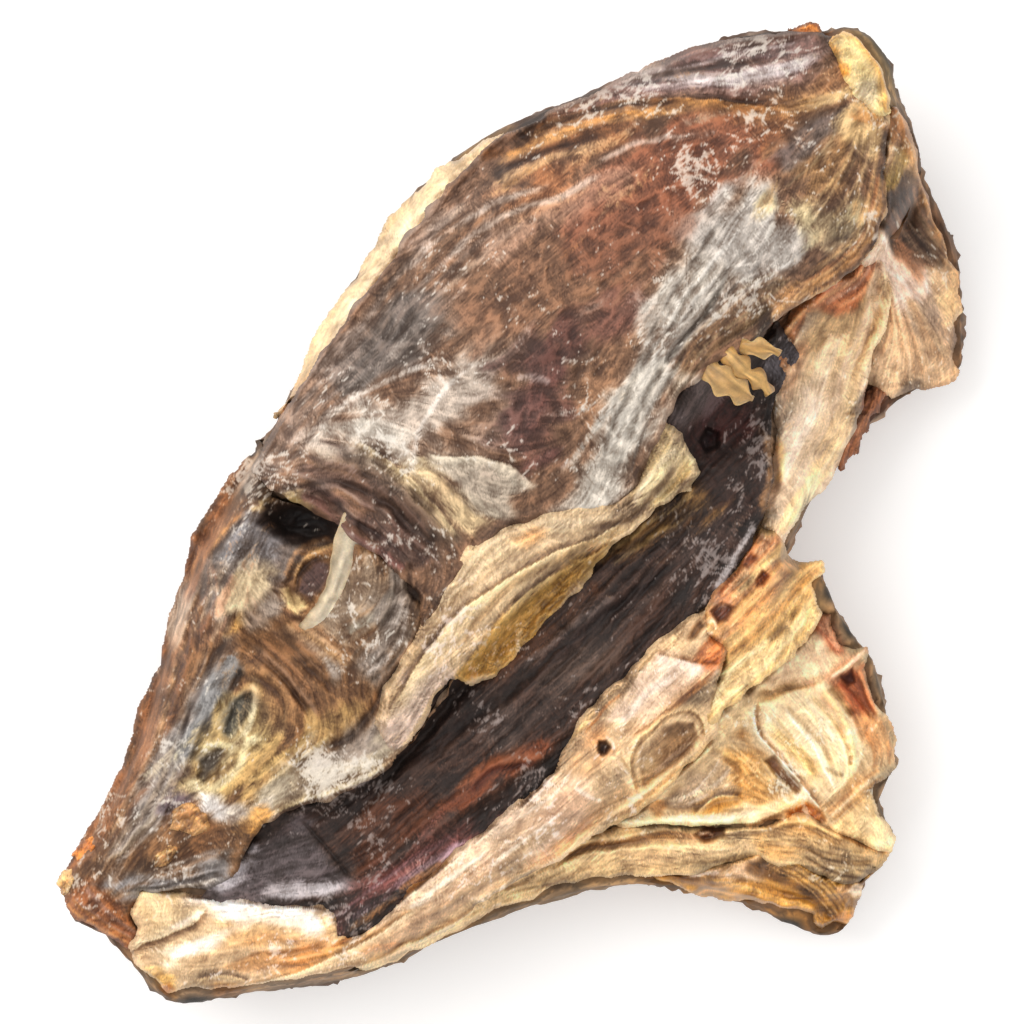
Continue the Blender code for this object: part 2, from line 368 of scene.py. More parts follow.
def near_line(keys, reach, waver=1.0):
    """Around a curve: the net's window, the distance to it, positive on its left, and the place along it."""
    line = spline(keys, PACE)
    at = window(line, reach)
    x, y = X[at] + waver * warp_x[at], Y[at] + waver * warp_y[at]
    best, which = np.full(x.shape, 1e9, np.float32), np.zeros(x.shape, int)
    for start in range(0, len(line), 48):
        some = line[start : start + 48].astype(np.float32)
        away = (x[..., None] - some[:, 0]) ** 2 + (y[..., None] - some[:, 1]) ** 2
        k = away.argmin(-1)
        found = np.take_along_axis(away, k[..., None], -1)[..., 0]
        better = found < best
        best[better], which[better] = found[better], k[better] + start
    step = np.gradient(line, axis=0)
    step /= np.linalg.norm(step, axis=1)[:, None]
    dx, dy = x - line[which, 0], y - line[which, 1]
    turn = step[which, 0] * dy - step[which, 1] * dx
    ahead = dx * step[which, 0] + dy * step[which, 1]
    past = ((which == 0) & (ahead < 0)) | ((which == len(line) - 1) & (ahead > 0))
    side = np.where(past, np.copysign(np.sqrt(best), turn), turn)
    return at, side, np.clip((which + ahead / PACE) / (len(line) - 1), 0, 1)


def cord(keys, high, wide, code=None, cover=0.85, fade=0.15, shine=0.0):
    """A raised strand, tendon or narrow fold."""
    at, side, place = near_line(keys, 2.5 * wide)
    rise = np.exp(-((side / wide) ** 2)) * tapered(place, fade)
    relief[at] += 0.6 * high * rise * (1 + 0.3 * blotch[at])
    gloss[at] = np.maximum(gloss[at], shine * rise)
    if code:
        colour_in(at, soft_step(1.25 * rise - 0.2 + 0.2 * streak[at] + 0.1 * fuzz[at]), code, 0.85 * cover)


def sheaf(first, last, count, high, wide, codes, cover=0.7, fade=0.12, jitter=0.45, shine=0.0):
    """Strands side by side from one curve to another, uneven in height and colour."""
    a, b = spline(first, 2), spline(last, 2)
    b = b[np.rint(np.linspace(0, len(b) - 1, len(a))).astype(int)]
    picks = np.rint(np.linspace(0, len(a) - 1, max(3, len(a) // 4))).astype(int)
    for k in range(count):
        share = (k + rng.uniform(-jitter, jitter)) / max(1, count - 1)
        keys = (a * (1 - share) + b * share)[picks]
        start, stop = 0, len(keys)
        if len(keys) >= 6:
            start, stop = rng.integers(0, 2), len(keys) - rng.integers(0, 2)
        size = rng.uniform(0.6, 1.3)
        cord(keys[start:stop], high * size * rng.choice((1, 1, -0.7)), wide * rng.uniform(0.45, 0.95),
             codes[rng.integers(len(codes))], cover * rng.uniform(0.45, 0.95), fade, shine)


sheaf([(-119, 33), (-100, 39), (-80, 50), (-60, 63), (-38, 72)],
      [(-118, 29), (-98, 34), (-78, 45), (-62, 57)], 9, 0.9, 1.1,
      ("9f6e48", "5c3824", "ae7e4f", "724c35", "8e6043", "c19f7d"))
patch([(-72, 57), (-62, 62), (-58, 62), (-62, 57), (-72, 53)], "b4a99d", 3, 0.7)
sheaf([(-76, 52), (-66, 56), (-58, 58)], [(-78, 47), (-66, 49), (-60, 49)], 6, 0.8, 1.0,
      ("5e3f2d", "ad8f6f", "8d6448", "432f25"))
patch([(-121, 30), (-100, 33.5), (-84, 41), (-60, 50), (-61, 45), (-85, 33), (-103, 26), (-119, 26)],
      "71655d", 2.5)
sheaf([(-118, 30), (-100, 33), (-84, 40), (-66, 48)], [(-118, 26.5), (-103, 26.5), (-90, 31), (-72, 41)], 8,
      0.7, 1.0, ("8f8a87", "534945", "9e896d", "6f5f53", "bcb5af"))
patch([(-92, 31), (-84, 37), (-76, 42), (-66, 44.5), (-61, 43), (-66, 39), (-76, 36.5), (-85, 33)], "72706f",
      1.5, 0.95, 1.2)


def crease(keys, deep, wide, code="4a3224", cover=0.6, fade=0.2):
    """A sunken fold, with painted shade along it in the given colour."""
    at, side, place = near_line(keys, 2.5 * wide)
    sink = np.exp(-((side / wide) ** 2)) * tapered(place, fade)
    relief[at] -= 0.7 * deep * sink
    # Painted shade in the fold.
    colour_in(at, soft_step(1.3 * sink - 0.25 + 0.2 * streak[at] + 0.1 * fuzz[at]), code, 0.85 * cover)


crease([(-90, 31), (-78, 35.5), (-68, 37.5), (-61, 41)], 1.6, 0.9, "332f2f")
crease([(-88, 35.5), (-78, 41), (-68, 45.5), (-60, 46)], 1.4, 0.8, "3e3431")
patch([(-101, 26), (-90, 31.5), (-87, 31), (-91, 25.5)], "584b4f", 1.5, 0.95, -0.5)
# Nostril pits, painted dark grey as the shade in them, with pale tendons stretched round them.
patch([(-92, 30), (-80, 33), (-70, 36), (-64, 35), (-66, 24), (-75, 19), (-88, 19)], "a78f64", 2, 0.9)
patch([(-88, 28), (-85, 30.5), (-80, 29.5), (-79, 27), (-84, 25.5), (-88, 26)], "625b53", 1.2, 0.95, -2.2)
patch([(-77, 31.5), (-70, 35), (-66, 34), (-69, 30.5), (-73, 30), (-76, 30)], "4a4741", 1.2, 0.95, -2.4)
cord([(-91, 30), (-88, 24), (-80, 23), (-74, 26), (-70, 23)], 1.6, 1.5, "e0d0a7")
cord([(-83, 27), (-77, 27), (-74, 26), (-72, 24)], 1.3, 1.4, "decfa9")
cord([(-77, 27), (-80, 30.5), (-84, 32)], 1.1, 0.9, "cdc099")
cord([(-76, 27), (-71, 28.5), (-66, 33), (-64, 36)], 1.2, 1.0, "d3c8a9")
cord([(-88, 22), (-80, 21), (-72, 21.5), (-66, 22.5)], 1.0, 1.2, "c3a169")
# Concentric pleats in front of the socket.
for size, high, code in ((6, -1.2, "4e3a2b"), (8, 1.1, "b48c5e"), (10.2, -1.3, "5f422b"),
                         (12, 1.3, "a37c55"), (14, -1.0, "6e4c32")):
    arc = [(-72 + 0.95 * size * math.cos(a), 31 + size * math.sin(a)) for a in (-1.1, -0.6, -0.1, 0.4, 0.9)]
    cord(arc, 0.8 * high, 1.2, code, 0.5)
sheaf([(-62, 43), (-60, 31), (-62, 19)], [(-48, 40), (-45, 30), (-43, 23)], 11, 1.2, 1.0,
      ("9a7551", "5e402b", "bc996f", "7f5b3f", "6f594b", "d1b596"))
crease([(-52, 42), (-54, 32), (-53, 20)], 1.8, 1.0, "4e3725")
crease([(-61, 40), (-59.5, 30), (-60.5, 21)], 1.6, 0.9, "533a25")
# Below the socket: grey-yellow floor, orange folds, then the frosty skin above the lip.
patch([(-46, 36), (-38, 40), (-27, 39), (-25, 30), (-33, 25), (-44, 26)], "917d69", 2, 0.95, -1.0)
sheaf([(-43, 31), (-34, 29.5), (-27, 32)], [(-44, 26), (-36, 26), (-28, 28)], 5, 0.9, 0.9,
      ("a2744a", "b98a5f", "725a45", "908f85"))
patch([(-50, 24), (-38, 27), (-24, 36), (-22, 26), (-32, 19), (-46, 15)], "73675e", 2.5, 0.9)
sheaf([(-47, 24), (-36, 25), (-25, 33)], [(-47, 17), (-38, 18), (-28, 23)], 7, 0.8, 0.9,
      ("b7ada5", "594e44", "90857d", "cdc7c1"))
patch([(-90, 22), (-76, 19), (-60, 19), (-48, 16), (-52, 13), (-64, 13), (-80, 12), (-86, 14)], "a58659",
      2.5, 0.85)
sheaf([(-88, 20.5), (-75, 20), (-62, 20)], [(-84, 15), (-70, 16), (-60, 15)], 5, 0.9, 1.1,
      ("c1a26d", "81613d", "d9c18f", "9c7f54"))
patch([(-86, 16), (-72, 15), (-58, 12), (-48, 12), (-50, 4), (-60, 3), (-70, 6), (-80, 10)], "a99c88", 2.5,
      0.95)
patch([(-70, 15), (-58, 13), (-50, 12), (-52, 9), (-62, 9.5)], "736761", 2, 0.7)
crease([(-66, 15), (-59, 12.3), (-50, 13), (-36, 17)], 2.2, 1.0, "372820")


def lap(keys, high, run, code=None, cover=0.8, under_shade="4d3526", fade=0.15):
    """A layer whose edge follows the curve: raised on the left, falling off over run, with painted shade
    below its edge.
    """
    at, side, place = near_line(keys, 1.2 * run + 3)
    fall = tapered(place, fade)
    over = soft_step(side / 0.7 + 0.5) * np.exp(-np.maximum(side, 0) / run)
    relief[at] += 0.8 * high * over * fall
    under = np.exp(-np.maximum(-side, 0) / 1.1) * (side < 0.2) * fall
    relief[at] -= 0.35 * high * under
    # The layer's colour is strongest at its edge: the rim's own paler colour, and also a painted highlight
    # where the edge meets the light.
    if code:
        colour_in(at, soft_step(1.3 * over - 0.1) * fall, code, cover)
    # Painted shade just below the layer's edge.
    colour_in(at, soft_step(under * 1.4 - 0.15 + 0.1 * streak[at]), under_shade, 0.55)


lap([(-85, 12.5), (-77, 9.5), (-68, 5), (-60, 2.6), (-54, 2.2)], 0.7, 1.6, "cfbc94")
patch([(-93, 22), (-90, 24.5), (-84, 17), (-79, 10), (-84, 10.5), (-90, 17)], "d7d2cf", 1.5, 0.9, 0.8)
patch([(-91, 15.5), (-84, 16), (-80, 11), (-88, 11)], "b98748", 1.2, 0.9, 0.6, shine=0.6)
patch([(-104, 20), (-93, 20), (-91, 14), (-100, 15), (-106, 17)], "724f33", 1.5, 0.9, -0.8)
# The snout's blunt front and the folded grey edge of the mouth behind it.
patch([(-132, 31), (-122, 31), (-119, 24), (-121, 14), (-125, 6), (-131, 8)], "8a5735", 2, 0.95)
sheaf([(-129, 29), (-129, 20), (-126, 10)], [(-121, 27), (-122, 19), (-121, 11)], 7, 0.8, 0.9,
      ("a36d43", "6c4029", "c2915a", "7f6f75", "905c39"))
patch([(-122, 26), (-112, 24), (-104, 15), (-95, 13), (-100, 8), (-107, 10), (-113, 17), (-121, 20)],
      "7b7573", 2, 0.95)
sheaf([(-121, 24), (-112, 22.5), (-105, 16), (-94, 14)], [(-119, 20), (-112, 16.5), (-106, 11), (-100, 9)],
      6, 1.2, 1.0, ("aeaba9", "5b5553", "938e8d", "433e3b", "bda98f"))
# The socket: a hollow with painted shade under its orange upper rim, whose grey floor climbs towards the
# snout.
patch([(-63, 60), (-56, 62.6), (-46, 64.6), (-38, 65), (-30, 58), (-26, 50), (-28, 45), (-38, 46), (-48, 47),
       (-60, 51)], "776a62", 2, 1.0)
patch([(-54, 60.5), (-42, 63), (-36, 60), (-38, 53), (-46, 53), (-50, 57)], "7d7a7c", 2.4, 0.9)
patch([(-62, 60), (-54, 61), (-53, 56), (-61, 55)], "6a5748", 2, 0.8)
# Painted shade: the hole under the rim's overhang, dark brown, and near-black in its deepest part.
patch([(-41, 61), (-37, 63.4), (-34, 61), (-28.4, 53), (-26, 49), (-30, 46.6), (-36, 50), (-39, 54)],
      "2c1c15", 2.6, 0.95, -6.0, 0.5)
patch([(-39, 61.6), (-33, 60), (-28, 52), (-29, 47.6), (-35, 51), (-38, 56)], "160c08", 2.0, 0.95, -3.0, 0.4)
patch([(-57, 55), (-50, 57), (-45.6, 55), (-45, 51), (-49, 48.4), (-56, 48.4), (-59, 51)], "e4cfaa", 1.8,
      0.9, 0.8)
patch([(-52, 58), (-46, 58), (-45, 56), (-50, 56)], "bbb1a7", 1.6, 0.6)
cord([(-61.5, 50.6), (-57, 54.4), (-52, 56.6)], 0.8, 0.9, "a17159", 0.7)
patch([(-63.5, 48.6), (-58, 48.4), (-58, 46.4), (-63, 46.2)], "c6995b", 1.0, 0.85, 0.4)
patch([(-58, 47), (-50, 48), (-48, 44), (-56, 42), (-60, 44)], "958c85", 1.8, 0.8)
# A shrunken lens of dark skin in the hollow, with folds above it and a crusted edge in front.
patch([(-46, 48), (-36, 49.6), (-28, 46), (-30, 40), (-44, 39.5), (-47, 42)], "886442", 1.6, 0.9, -1.5)
cord([(-46.5, 48.6), (-40, 50.4), (-34, 50), (-29, 47.2)], 1.4, 0.9, "a97f5a", 0.85)
cord([(-45, 46.8), (-39, 48.2), (-33, 47.4), (-29.6, 45.4)], 0.9, 0.7, "cba473", 0.8)
patch([(-45, 44), (-41.5, 46.4), (-36.5, 46), (-34, 43.4), (-38, 40.8), (-43.4, 40.2)], "4c3a36", 1.2, 1.0,
      1.2, 0.4)
crease([(-45.4, 43), (-42, 46.6), (-36.6, 46.6), (-33, 44)], 1.2, 0.6, "2d1d16")
patch([(-48, 47.6), (-45.4, 47), (-44.6, 43), (-45.4, 39.6), (-48.4, 39.6), (-49, 43)], "dbc08f", 1.0, 0.9,
      0.6)
cord([(-50, 44), (-49.6, 40), (-50.6, 36)], 0.6, 0.7, "825e44", 0.6)
# The rims: a fold of orange-brown skin above and a grey one in front.
cord([(-62, 61), (-56, 62.8), (-49, 64.6), (-41, 65.8)], 2.0, 1.3, "a26d3c", 0.9)
cord([(-60, 61.4), (-52, 63.6), (-45, 65)], 0.6, 0.5, "ca9c5f", 0.7)
cord([(-66, 58), (-58, 61.4), (-48, 66), (-40, 67.6)], 1.4, 1.2, "804f35", 0.7)
crease([(-57, 61.6), (-49, 62.8), (-41, 64.2)], 1.2, 0.7, "3b2a21")
sheaf([(-70, 52), (-58, 58), (-50, 66)], [(-66, 47), (-60, 50), (-58, 56)], 5, 0.7, 0.8,
      ("a2978e", "724e3a", "c1a990", "87593e"))
cord([(-41, 65.6), (-39, 63.4), (-37.6, 64.6), (-36, 62.8)], 1.2, 0.8, "cfb487", 0.8)


def weather(outline, fibre=0.12, wrinkles=0.3, frost=0.5, frost_code="e9e0d4", relief_shade=0.5, contrast=0.16,
            leather=0.1):
    """Dries an area: fibres, creases and crackle rise, pale fibre ends fleck it, and painted shade darkens
    its hollows and lightens its ridges.
    """
    at, edge = within(outline)
    mask = soft_step(edge / 2 + 0.5)
    grain = crepe[at] + 0.8 * veins[at]
    relief[at] += mask * (0.8 * fibre * strand[at] + 0.6 * wrinkles * wrinkle[at] + leather * grain
                          + 0.05 * fuzz[at])
    sunk = np.clip(blur(relief[at], 1.6) - relief[at], -0.8, 0.8)
    wide = np.clip(blur(relief[at], 6) - relief[at], -2, 3)
    # Painted shade and light: the colour darkens where the relief lies below its surroundings and lightens on
    # ridges, on top of the fibres' own tone.
    tone = (contrast * (0.65 * strand[at] + 0.5 * streak[at]) + 0.6 * leather * grain + 0.08 * blotch[at]
            + 0.09 * fuzz[at] + 0.035 * grit[at] - 0.55 * relief_shade * sunk - 0.04 * wide)
    tone *= np.clip(1.3 - paint[at].mean(-1), 0.45, 1)
    tone = np.clip(tone, -0.42, 0.3)[..., None]
    # The darkening, painted shade included, is tinted warm so that it reads brown rather than grey.
    warm = np.where(tone < 0, np.array([0.85, 1.0, 1.1], np.float32), 1.0)
    grey = paint[at].mean(-1, keepdims=True)
    rich = grey + (1 + 0.12 * mask[..., None]) * (paint[at] - grey)
    paint[at] = np.clip(rich * (1 + mask[..., None] * tone * warm), 0.03, 1)
    if frost:
        wisps = (0.7 * fuzz[at] + 0.5 * flecks[at] + 0.4 * hairs[at] + 0.9 * lace[at]
                 + 0.4 * veins[at] + 1.5 * cloud[at] - 0.8 * sunk)
        pale = soft_step((wisps - 3.7 + 2.8 * frost) / 2.2)
        colour_in(at, pale * mask, frost_code, min(0.8, 0.45 + 0.5 * frost))


weather(snout_edge, 0.12, 0.3, 0.48, contrast=0.12, leather=0.15)


def folds(points, sizes, seed):
    """Seeded noise in the round at points in millimetres, drawn out by a size for each axis."""
    spread = points / np.array(sizes) + seed
    return np.array([noise.fractal(Vector(p), 0.9, 2.1, 3) for p in spread], np.float32)


# How far in from its edge a dried piece curls down, in millimetres.
CURL = 1.3


def lay(name, outline, lift=0.0, rim=2.5, own=5.0, waver=1.0):
    """Cuts one part out of the net.

    Its height follows the solid inside it and not its neighbours. Its rim turns down, and where nothing
    lies outside it, the rim tucks into the core and the steep side is toned like it.
    """
    at, edge = within(outline, waver)
    edge = edge + 0.3 * blotch[at] + 0.18 * crepe[at]
    inner = soft_step((edge - 1.5) / 2) + 1e-4
    kept = blur(base[at] * inner, own) / blur(inner, own)
    open_air = soft_step(2.4 * bare[at] - 0.2)
    share = np.maximum(soft_step(edge / own), open_air)
    height = kept * (1 - share) + base[at] * share + relief[at] + lift * (1 - 0.7 * open_air)
    fold = (1 - np.clip(edge / CURL, 0, 1)) ** 2
    crust[at] = np.fmax(crust[at], np.where(edge > 0, height - rim * fold * (1 - open_air), np.nan))
    height -= (rim + 0.5 * open_air) * fold
    rows, cols = edge.shape
    bm = bmesh.new()
    bmesh.ops.create_grid(bm, x_segments=cols - 1, y_segments=rows - 1, size=0.5)
    spots = np.array([v.co for v in bm.verts])
    c, r = (np.rint((spots[:, k] + 0.5) * n).astype(int) for k, n in ((0, cols - 1), (1, rows - 1)))
    gone = edge[r, c] < -0.75 * STEP
    verts = list(bm.verts)
    bmesh.ops.delete(bm, geom=[verts[k] for k in np.flatnonzero(gone)], context="VERTS")
    mesh = bpy.data.meshes.new(name)
    bm.to_mesh(mesh)
    bm.free()
    r, c = r[~gone], c[~gone]
    slope_y, slope_x = np.gradient(edge, STEP)
    pull = np.where(edge[r, c] < 0.75 * STEP, edge[r, c] - CURL * open_air[r, c], 0)
    places = np.empty((len(r), 3))
    places[:, 0] = (X[at][r, c] - pull * slope_x[r, c]) * MM
    places[:, 1] = (Y[at][r, c] - pull * slope_y[r, c]) * MM
    places[:, 2] = height[r, c] * MM
    mesh.vertices.foreach_set("co", places.ravel())
    steep = soft_step((np.hypot(*np.gradient(blur(base[at], 1), STEP)) - 1.0) / 1.8) * open_air
    drawn = (paint[at].sum(-1) > 0).astype(np.float32)[..., None]
    calm = (blur(paint[at] * drawn, 2.5) / (blur(drawn, 2.5) + 1e-3))[r, c]
    wall = steep[r, c]
    wet = np.flatnonzero(wall > 0.03)
    calm[wet] *= 1 + 0.45 * folds(places[wet] / MM, (6, 3, 2.4), 5.0)[:, None]
    tint = paint[at][r, c] * (1 - wall[:, None]) + calm * wall[:, None]
    colours = np.ones((len(r), 4), np.float32)
    colours[:, :3] = to_linear(np.clip(tint, 0.02, 1))
    mesh.attributes.new("dried_colour", "FLOAT_COLOR", "POINT").data.foreach_set("color", colours.ravel())
    mesh.attributes.new("resin", "FLOAT", "POINT").data.foreach_set("value",
                                                                    gloss[at][r, c].astype(np.float32))
    mesh.shade_smooth()
    mesh.update()
    piece = bpy.data.objects.new(name, mesh)
    bpy.context.scene.collection.objects.link(piece)
    return piece


snout_skin = lay("snout_skin", snout_edge)


def fasten(piece, material):
    """Gives a piece its finish, and fixes it to the head in place of the plain solid."""
    piece.data.materials.append(material)
    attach(piece, "root")
    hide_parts("stockfish_head")


fasten(snout_skin, skin_finish)

# ------------------------------------------------------------------ cheek and gill cover
# The broad cheek muscle under its skin, running back to the thin gill cover. Brown leathery skin
# with frosted streaks; the cover's rim turns translucent and horny at the back.
cheek_edge = [
    (-37, 73.5), (-20, 77), (0, 81), (20, 84.5), (35, 87), (45, 89.5), (54, 90.5), (62, 88), (70, 85),
    (78, 82), (90, 79.5), (100, 75), (108, 70), (115, 65.5), (120, 63), (123, 62), (123.5, 58),
    (125, 55), (124, 47), (124.5, 41), (121.5, 37), (117.5, 31.5), (112.5, 25.5), (107, 19.5),
    (100, 14.7), (92, 14), (85, 15), (78, 16.5), (70, 17.5), (62, 19), (55, 20.5), (46, 20), (40, 18),
    (33, 15), (27, 12), (21, 12), (16, 15), (8, 20), (0, 23), (-8, 24), (-15, 23.5), (-24, 20),
    (-31, 18.5), (-26, 24), (-25, 32), (-25.5, 42), (-27, 50), (-31, 57), (-35, 64.5),
]
patch(cheek_edge, "755844", 2.5, ragged=0)
patch([(-30, 80), (60, 96), (60, 84), (30, 82), (0, 76), (-34, 70)], "7a5f4e", 3)
sheaf([(-36, 73), (-10, 78), (20, 84), (50, 89)], [(-30, 66), (-5, 68), (20, 71), (50, 72)], 15, 0.55, 0.9,
      ("8f8379", "5d4a3d", "a6998c", "7b5c44", "6b6462", "91694b"), 0.55)
patch([(-10, 79), (10, 81), (22, 76), (20, 66), (8, 60), (0, 64), (-8, 68)], "5a534f", 4, 0.8)
patch([(-22, 68), (-6, 66), (12, 62), (26, 56), (30, 49), (16, 46), (0, 45), (-8, 52), (-16, 60)], "b8ada2",
      5, 0.8)
patch([(24, 66), (60, 72), (80, 68), (85, 56), (60, 46), (30, 50), (20, 58)], "7b5a45", 4, 0.85)
patch([(48, 66), (78, 70), (98, 62), (106, 50), (96, 44), (80, 48), (60, 47)], "7a4a35", 4, 0.8)
patch([(30, 60), (60, 58), (70, 48), (50, 44), (34, 50)], "73543f", 3, 0.6)
# Behind the socket the skin hangs in upright folds.
sheaf([(-35, 66), (-26, 54), (-23, 42), (-20, 29)], [(-20, 68), (-12, 54), (-11, 42), (-11, 28)], 10, 1.5,
      1.1, ("8e8078", "4f3b33", "a89c90", "6c544a", "3a2922", "b7a68e"), 0.75)
patch([(-24, 46), (-20, 48), (-16, 40), (-18, 30), (-22, 30), (-25, 38)], "4b362f", 1.6, 0.8, -0.8)
patch([(-17, 60), (-11, 56), (-9.5, 42), (-10, 29), (-16, 29), (-17, 44)], "46352c", 1.8, 0.85, -1.2)
lap([(-10, 27), (-9.5, 38), (-10, 50), (-14, 62)], 1.2, 2.5, "c2ae8a")
patch([(-10, 50), (-4, 48), (-3, 27), (-9, 27)], "c6b08b", 1.6, 0.85, 0.6)
patch([(-38, 64.4), (-34, 63.4), (-29, 61), (-28.4, 55.4), (-31.6, 55), (-35, 59)], "c8b17b", 1.2, 0.9, 0.3)
crease([(-35.6, 63.6), (-32, 60), (-29, 57.6)], 0.7, 0.6, "8a7545", 0.7)
cord([(-30, 60.5), (-27.4, 54), (-26.4, 47), (-25, 40), (-22.4, 31.4)], 2.4, 1.3, "6d4b45", 0.9, 0.06)
cord([(-28.4, 54), (-27.2, 48), (-26.2, 42)], 0.6, 0.4, "a87f70", 0.7)
crease([(-27, 62), (-24.6, 54), (-23.4, 46), (-21.6, 38), (-20.4, 32)], 1.8, 0.9, "3b2924", 0.8)
crease([(-20, 31), (-17, 42), (-20, 54), (-28, 64)], 2.0, 1.0, "3a2a23")
crease([(-3.5, 27), (-4, 38), (-5, 48)], 1.2, 0.9, "6a5644")
patch([(-3, 48), (2, 44), (8, 36), (10, 27), (0, 25), (-3, 28)], "a3988a", 1.4, 0.85, 0.8)
lap([(10, 26), (9, 33), (6, 39), (0, 44), (-4, 49)], 0.9, 3, "b9ae9c")
patch([(-16, 66), (-8, 64), (-3, 52), (-6, 49), (-14, 56)], "b5ada2", 2, 0.75, 0.5)
# The cheek's dark red islands and the paler skin between them.
patch([(10, 40), (20, 44), (27, 50), (33, 48), (33, 40), (26, 33), (18, 29), (10, 30)], "5a3a34", 2.2, 0.9,
      0.5)
patch([(18, 54), (32, 52), (33, 44), (26, 41), (20, 46)], "50362f", 2.0, 0.85, 0.3)
patch([(36, 50), (48, 48), (55, 40), (50, 36), (40, 40), (34, 44)], "6a473c", 2.2, 0.85, 0.3)
patch([(30, 38), (44, 38), (52, 35), (40, 31), (28, 29)], "8d6a50", 2.5, 0.8)
cord([(22, 47), (25, 44), (27, 40)], 0.5, 1.4, "b3a9a6", 0.6)
cord([(33, 48), (34.5, 42), (38, 38)], 0.6, 1.2, "9c8370", 0.6)
# The frosted band of muscle edge that runs down from the cover to the mouth's corner.
patch([(14, 16), (24, 24), (40, 31), (56, 38), (72, 44), (84, 46), (90, 42), (88, 34), (92, 27), (84, 24),
       (66, 31), (50, 27), (36, 20), (28, 13), (20, 11)], "b9b0a5", 3, 0.95, 0.5)
patch([(70, 45), (84, 47), (89, 38), (90, 28), (84, 23), (74, 27), (70, 36)], "a59d97", 2.6, 0.6, 0.4)
sheaf([(18, 18), (34, 27), (54, 36), (80, 45)], [(24, 12), (40, 22), (58, 28), (86, 25)], 14, 0.8, 0.8,
      ("d6d1ca", "8a8178", "bdb5aa", "6d655f", "e4e0da"), 0.6)
crease([(19, 15), (30, 20), (42, 25), (54, 28), (66, 31), (76, 34.5)], 1.6, 0.8, "4a433c")
crease([(24, 13), (36, 20), (48, 24.5), (58, 27)], 1.3, 0.7, "57504a")
crease([(22, 20), (34, 26), (50, 31.5), (64, 34)], 0.9, 0.7, "6e665e")
sheaf([(40, 21), (56, 27), (70, 28), (82, 24)], [(42, 19.5), (58, 22), (70, 20), (84, 19)], 8, 0.8, 0.8,
      ("a58b60", "6f5a40", "c2ae88", "8a6c48", "544335"), 0.75)
patch([(88, 38), (94, 34), (104, 26), (106, 20), (98, 17), (90, 20), (89, 28)], "c4b48f", 2.5, 0.85, 0.4)
patch([(98, 40), (112, 42), (110, 32), (102, 26), (96, 32)], "92704c", 3, 0.8)
sheaf([(92, 38), (104, 38), (116, 42)], [(96, 24), (106, 27), (117, 34)], 8, 0.7, 0.9,
      ("ab8656", "7a5838", "cfb180", "8f7a5c"), 0.7)
patch([(74, 21), (88, 18), (100, 19), (112, 26), (121, 33), (124, 38), (120, 30), (108, 19.5), (98, 13.5),
       (84, 14), (72, 17)], "9a7452", 1.6, 0.9, 0.5, shine=0.4)
lap([(123, 39), (117.5, 31.5), (112, 25.5), (107, 19.8), (100, 15.4), (92, 14.6), (85, 15.4), (76, 17.4)],
    1.0, 2.2, "a9855e")
sheaf([(70, 19), (85, 16.5), (98, 16), (110, 23), (122, 35)],
      [(74, 22), (88, 20), (98, 20), (108, 26), (118, 36)], 6, 0.6, 0.8,
      ("c0935d", "865634", "d4ad77", "986a40"), 0.7, shine=0.4)
# Back of the crown: a deep brown fold and purple-grey pleats down to the rim.
patch([(44, 80), (66, 77), (60, 70), (48, 71), (40, 76)], "a46b46", 2.4, 0.7, 0.3)
patch([(50, 88), (66, 84), (84, 74), (88, 68), (74, 68), (56, 80)], "6a452b", 2.4, 0.85)
sheaf([(46, 86), (66, 79), (84, 68), (100, 58)], [(52, 91), (72, 84), (90, 72), (106, 60)], 9, 1.1, 1.1,
      ("aa7a48", "4e301d", "c49960", "73482c", "8e6a4c"), 0.8)
patch([(66, 84), (90, 79), (108, 70), (122, 60), (124, 54), (112, 52), (96, 62), (82, 74)], "6b4f49", 3, 0.85)
sheaf([(80, 81), (100, 72), (120, 60)], [(84, 74), (98, 62), (114, 52)], 12, 1.0, 0.9,
      ("a99da0", "4d3b3b", "c7bfc0", "6e5756", "8a6f66", "5a4038"), 0.75)
cord([(83, 82), (90, 76), (96, 68), (106, 60), (120, 53)], 0.7, 1.5, "d4cdcc", 0.7)
crease([(92, 65), (100, 57), (107, 51), (113, 46)], 3.0, 1.6, "341f14", 0.9)
lap([(116, 44), (107, 51), (99, 59), (90, 68), (80, 76)], 1.4, 3, "a67644")
patch([(104, 56), (114, 50), (122, 52), (120, 44), (110, 46)], "8a6547", 2, 0.8)
# A cream cord and patch on the rim: partly the rim's own colour, partly a painted highlight.
cord([(103, 54), (112, 47), (121, 43)], 1.4, 1.6, "d6b886", 0.85, shine=0.3)
patch([(98, 46), (110, 46), (114, 42), (104, 40), (97, 42)], "5a4f4c", 2, 0.8)
patch([(112, 40), (118, 41), (123, 37), (116, 30), (110, 32)], "ccae7f", 2, 0.8, 0.4, shine=0.3)
sheaf([(113, 41), (118, 34), (118, 28)], [(123, 40), (123, 35), (121, 31)], 4, 0.9, 0.9,
      ("9f6d3f", "ddc08f", "895a33"), 0.8)
# Frosted skin: pale and grey areas between the folds, the mouth's corner and the crown.
patch([(8, 20), (20, 24), (34, 28), (48, 30), (50, 22), (36, 18), (24, 13), (14, 15)], "c0b8ad", 3, 0.75, 0.2)
patch([(8, 46), (22, 47), (20, 36), (8, 36)], "8f7c72", 3, 0.5)
patch([(-34, 74), (-14, 78), (8, 82), (34, 86), (34, 81), (10, 77), (-14, 72), (-32, 69)], "a18d80", 3, 0.6)
patch([(22, 74), (40, 76), (60, 70), (72, 64), (58, 64), (36, 70)], "a98b79", 3.5, 0.5)
patch([(48, 64), (62, 62), (72, 54), (70, 47), (56, 48), (46, 56)], "6b4534", 3.5, 0.6)
patch([(98, 57), (108, 55), (112, 49), (102, 47), (95, 51)], "7f5636", 3, 0.7)
patch([(-32, 58), (-28, 52), (-24, 40), (-21, 42), (-24, 54), (-29, 62)], "4e3730", 1.4, 0.6)
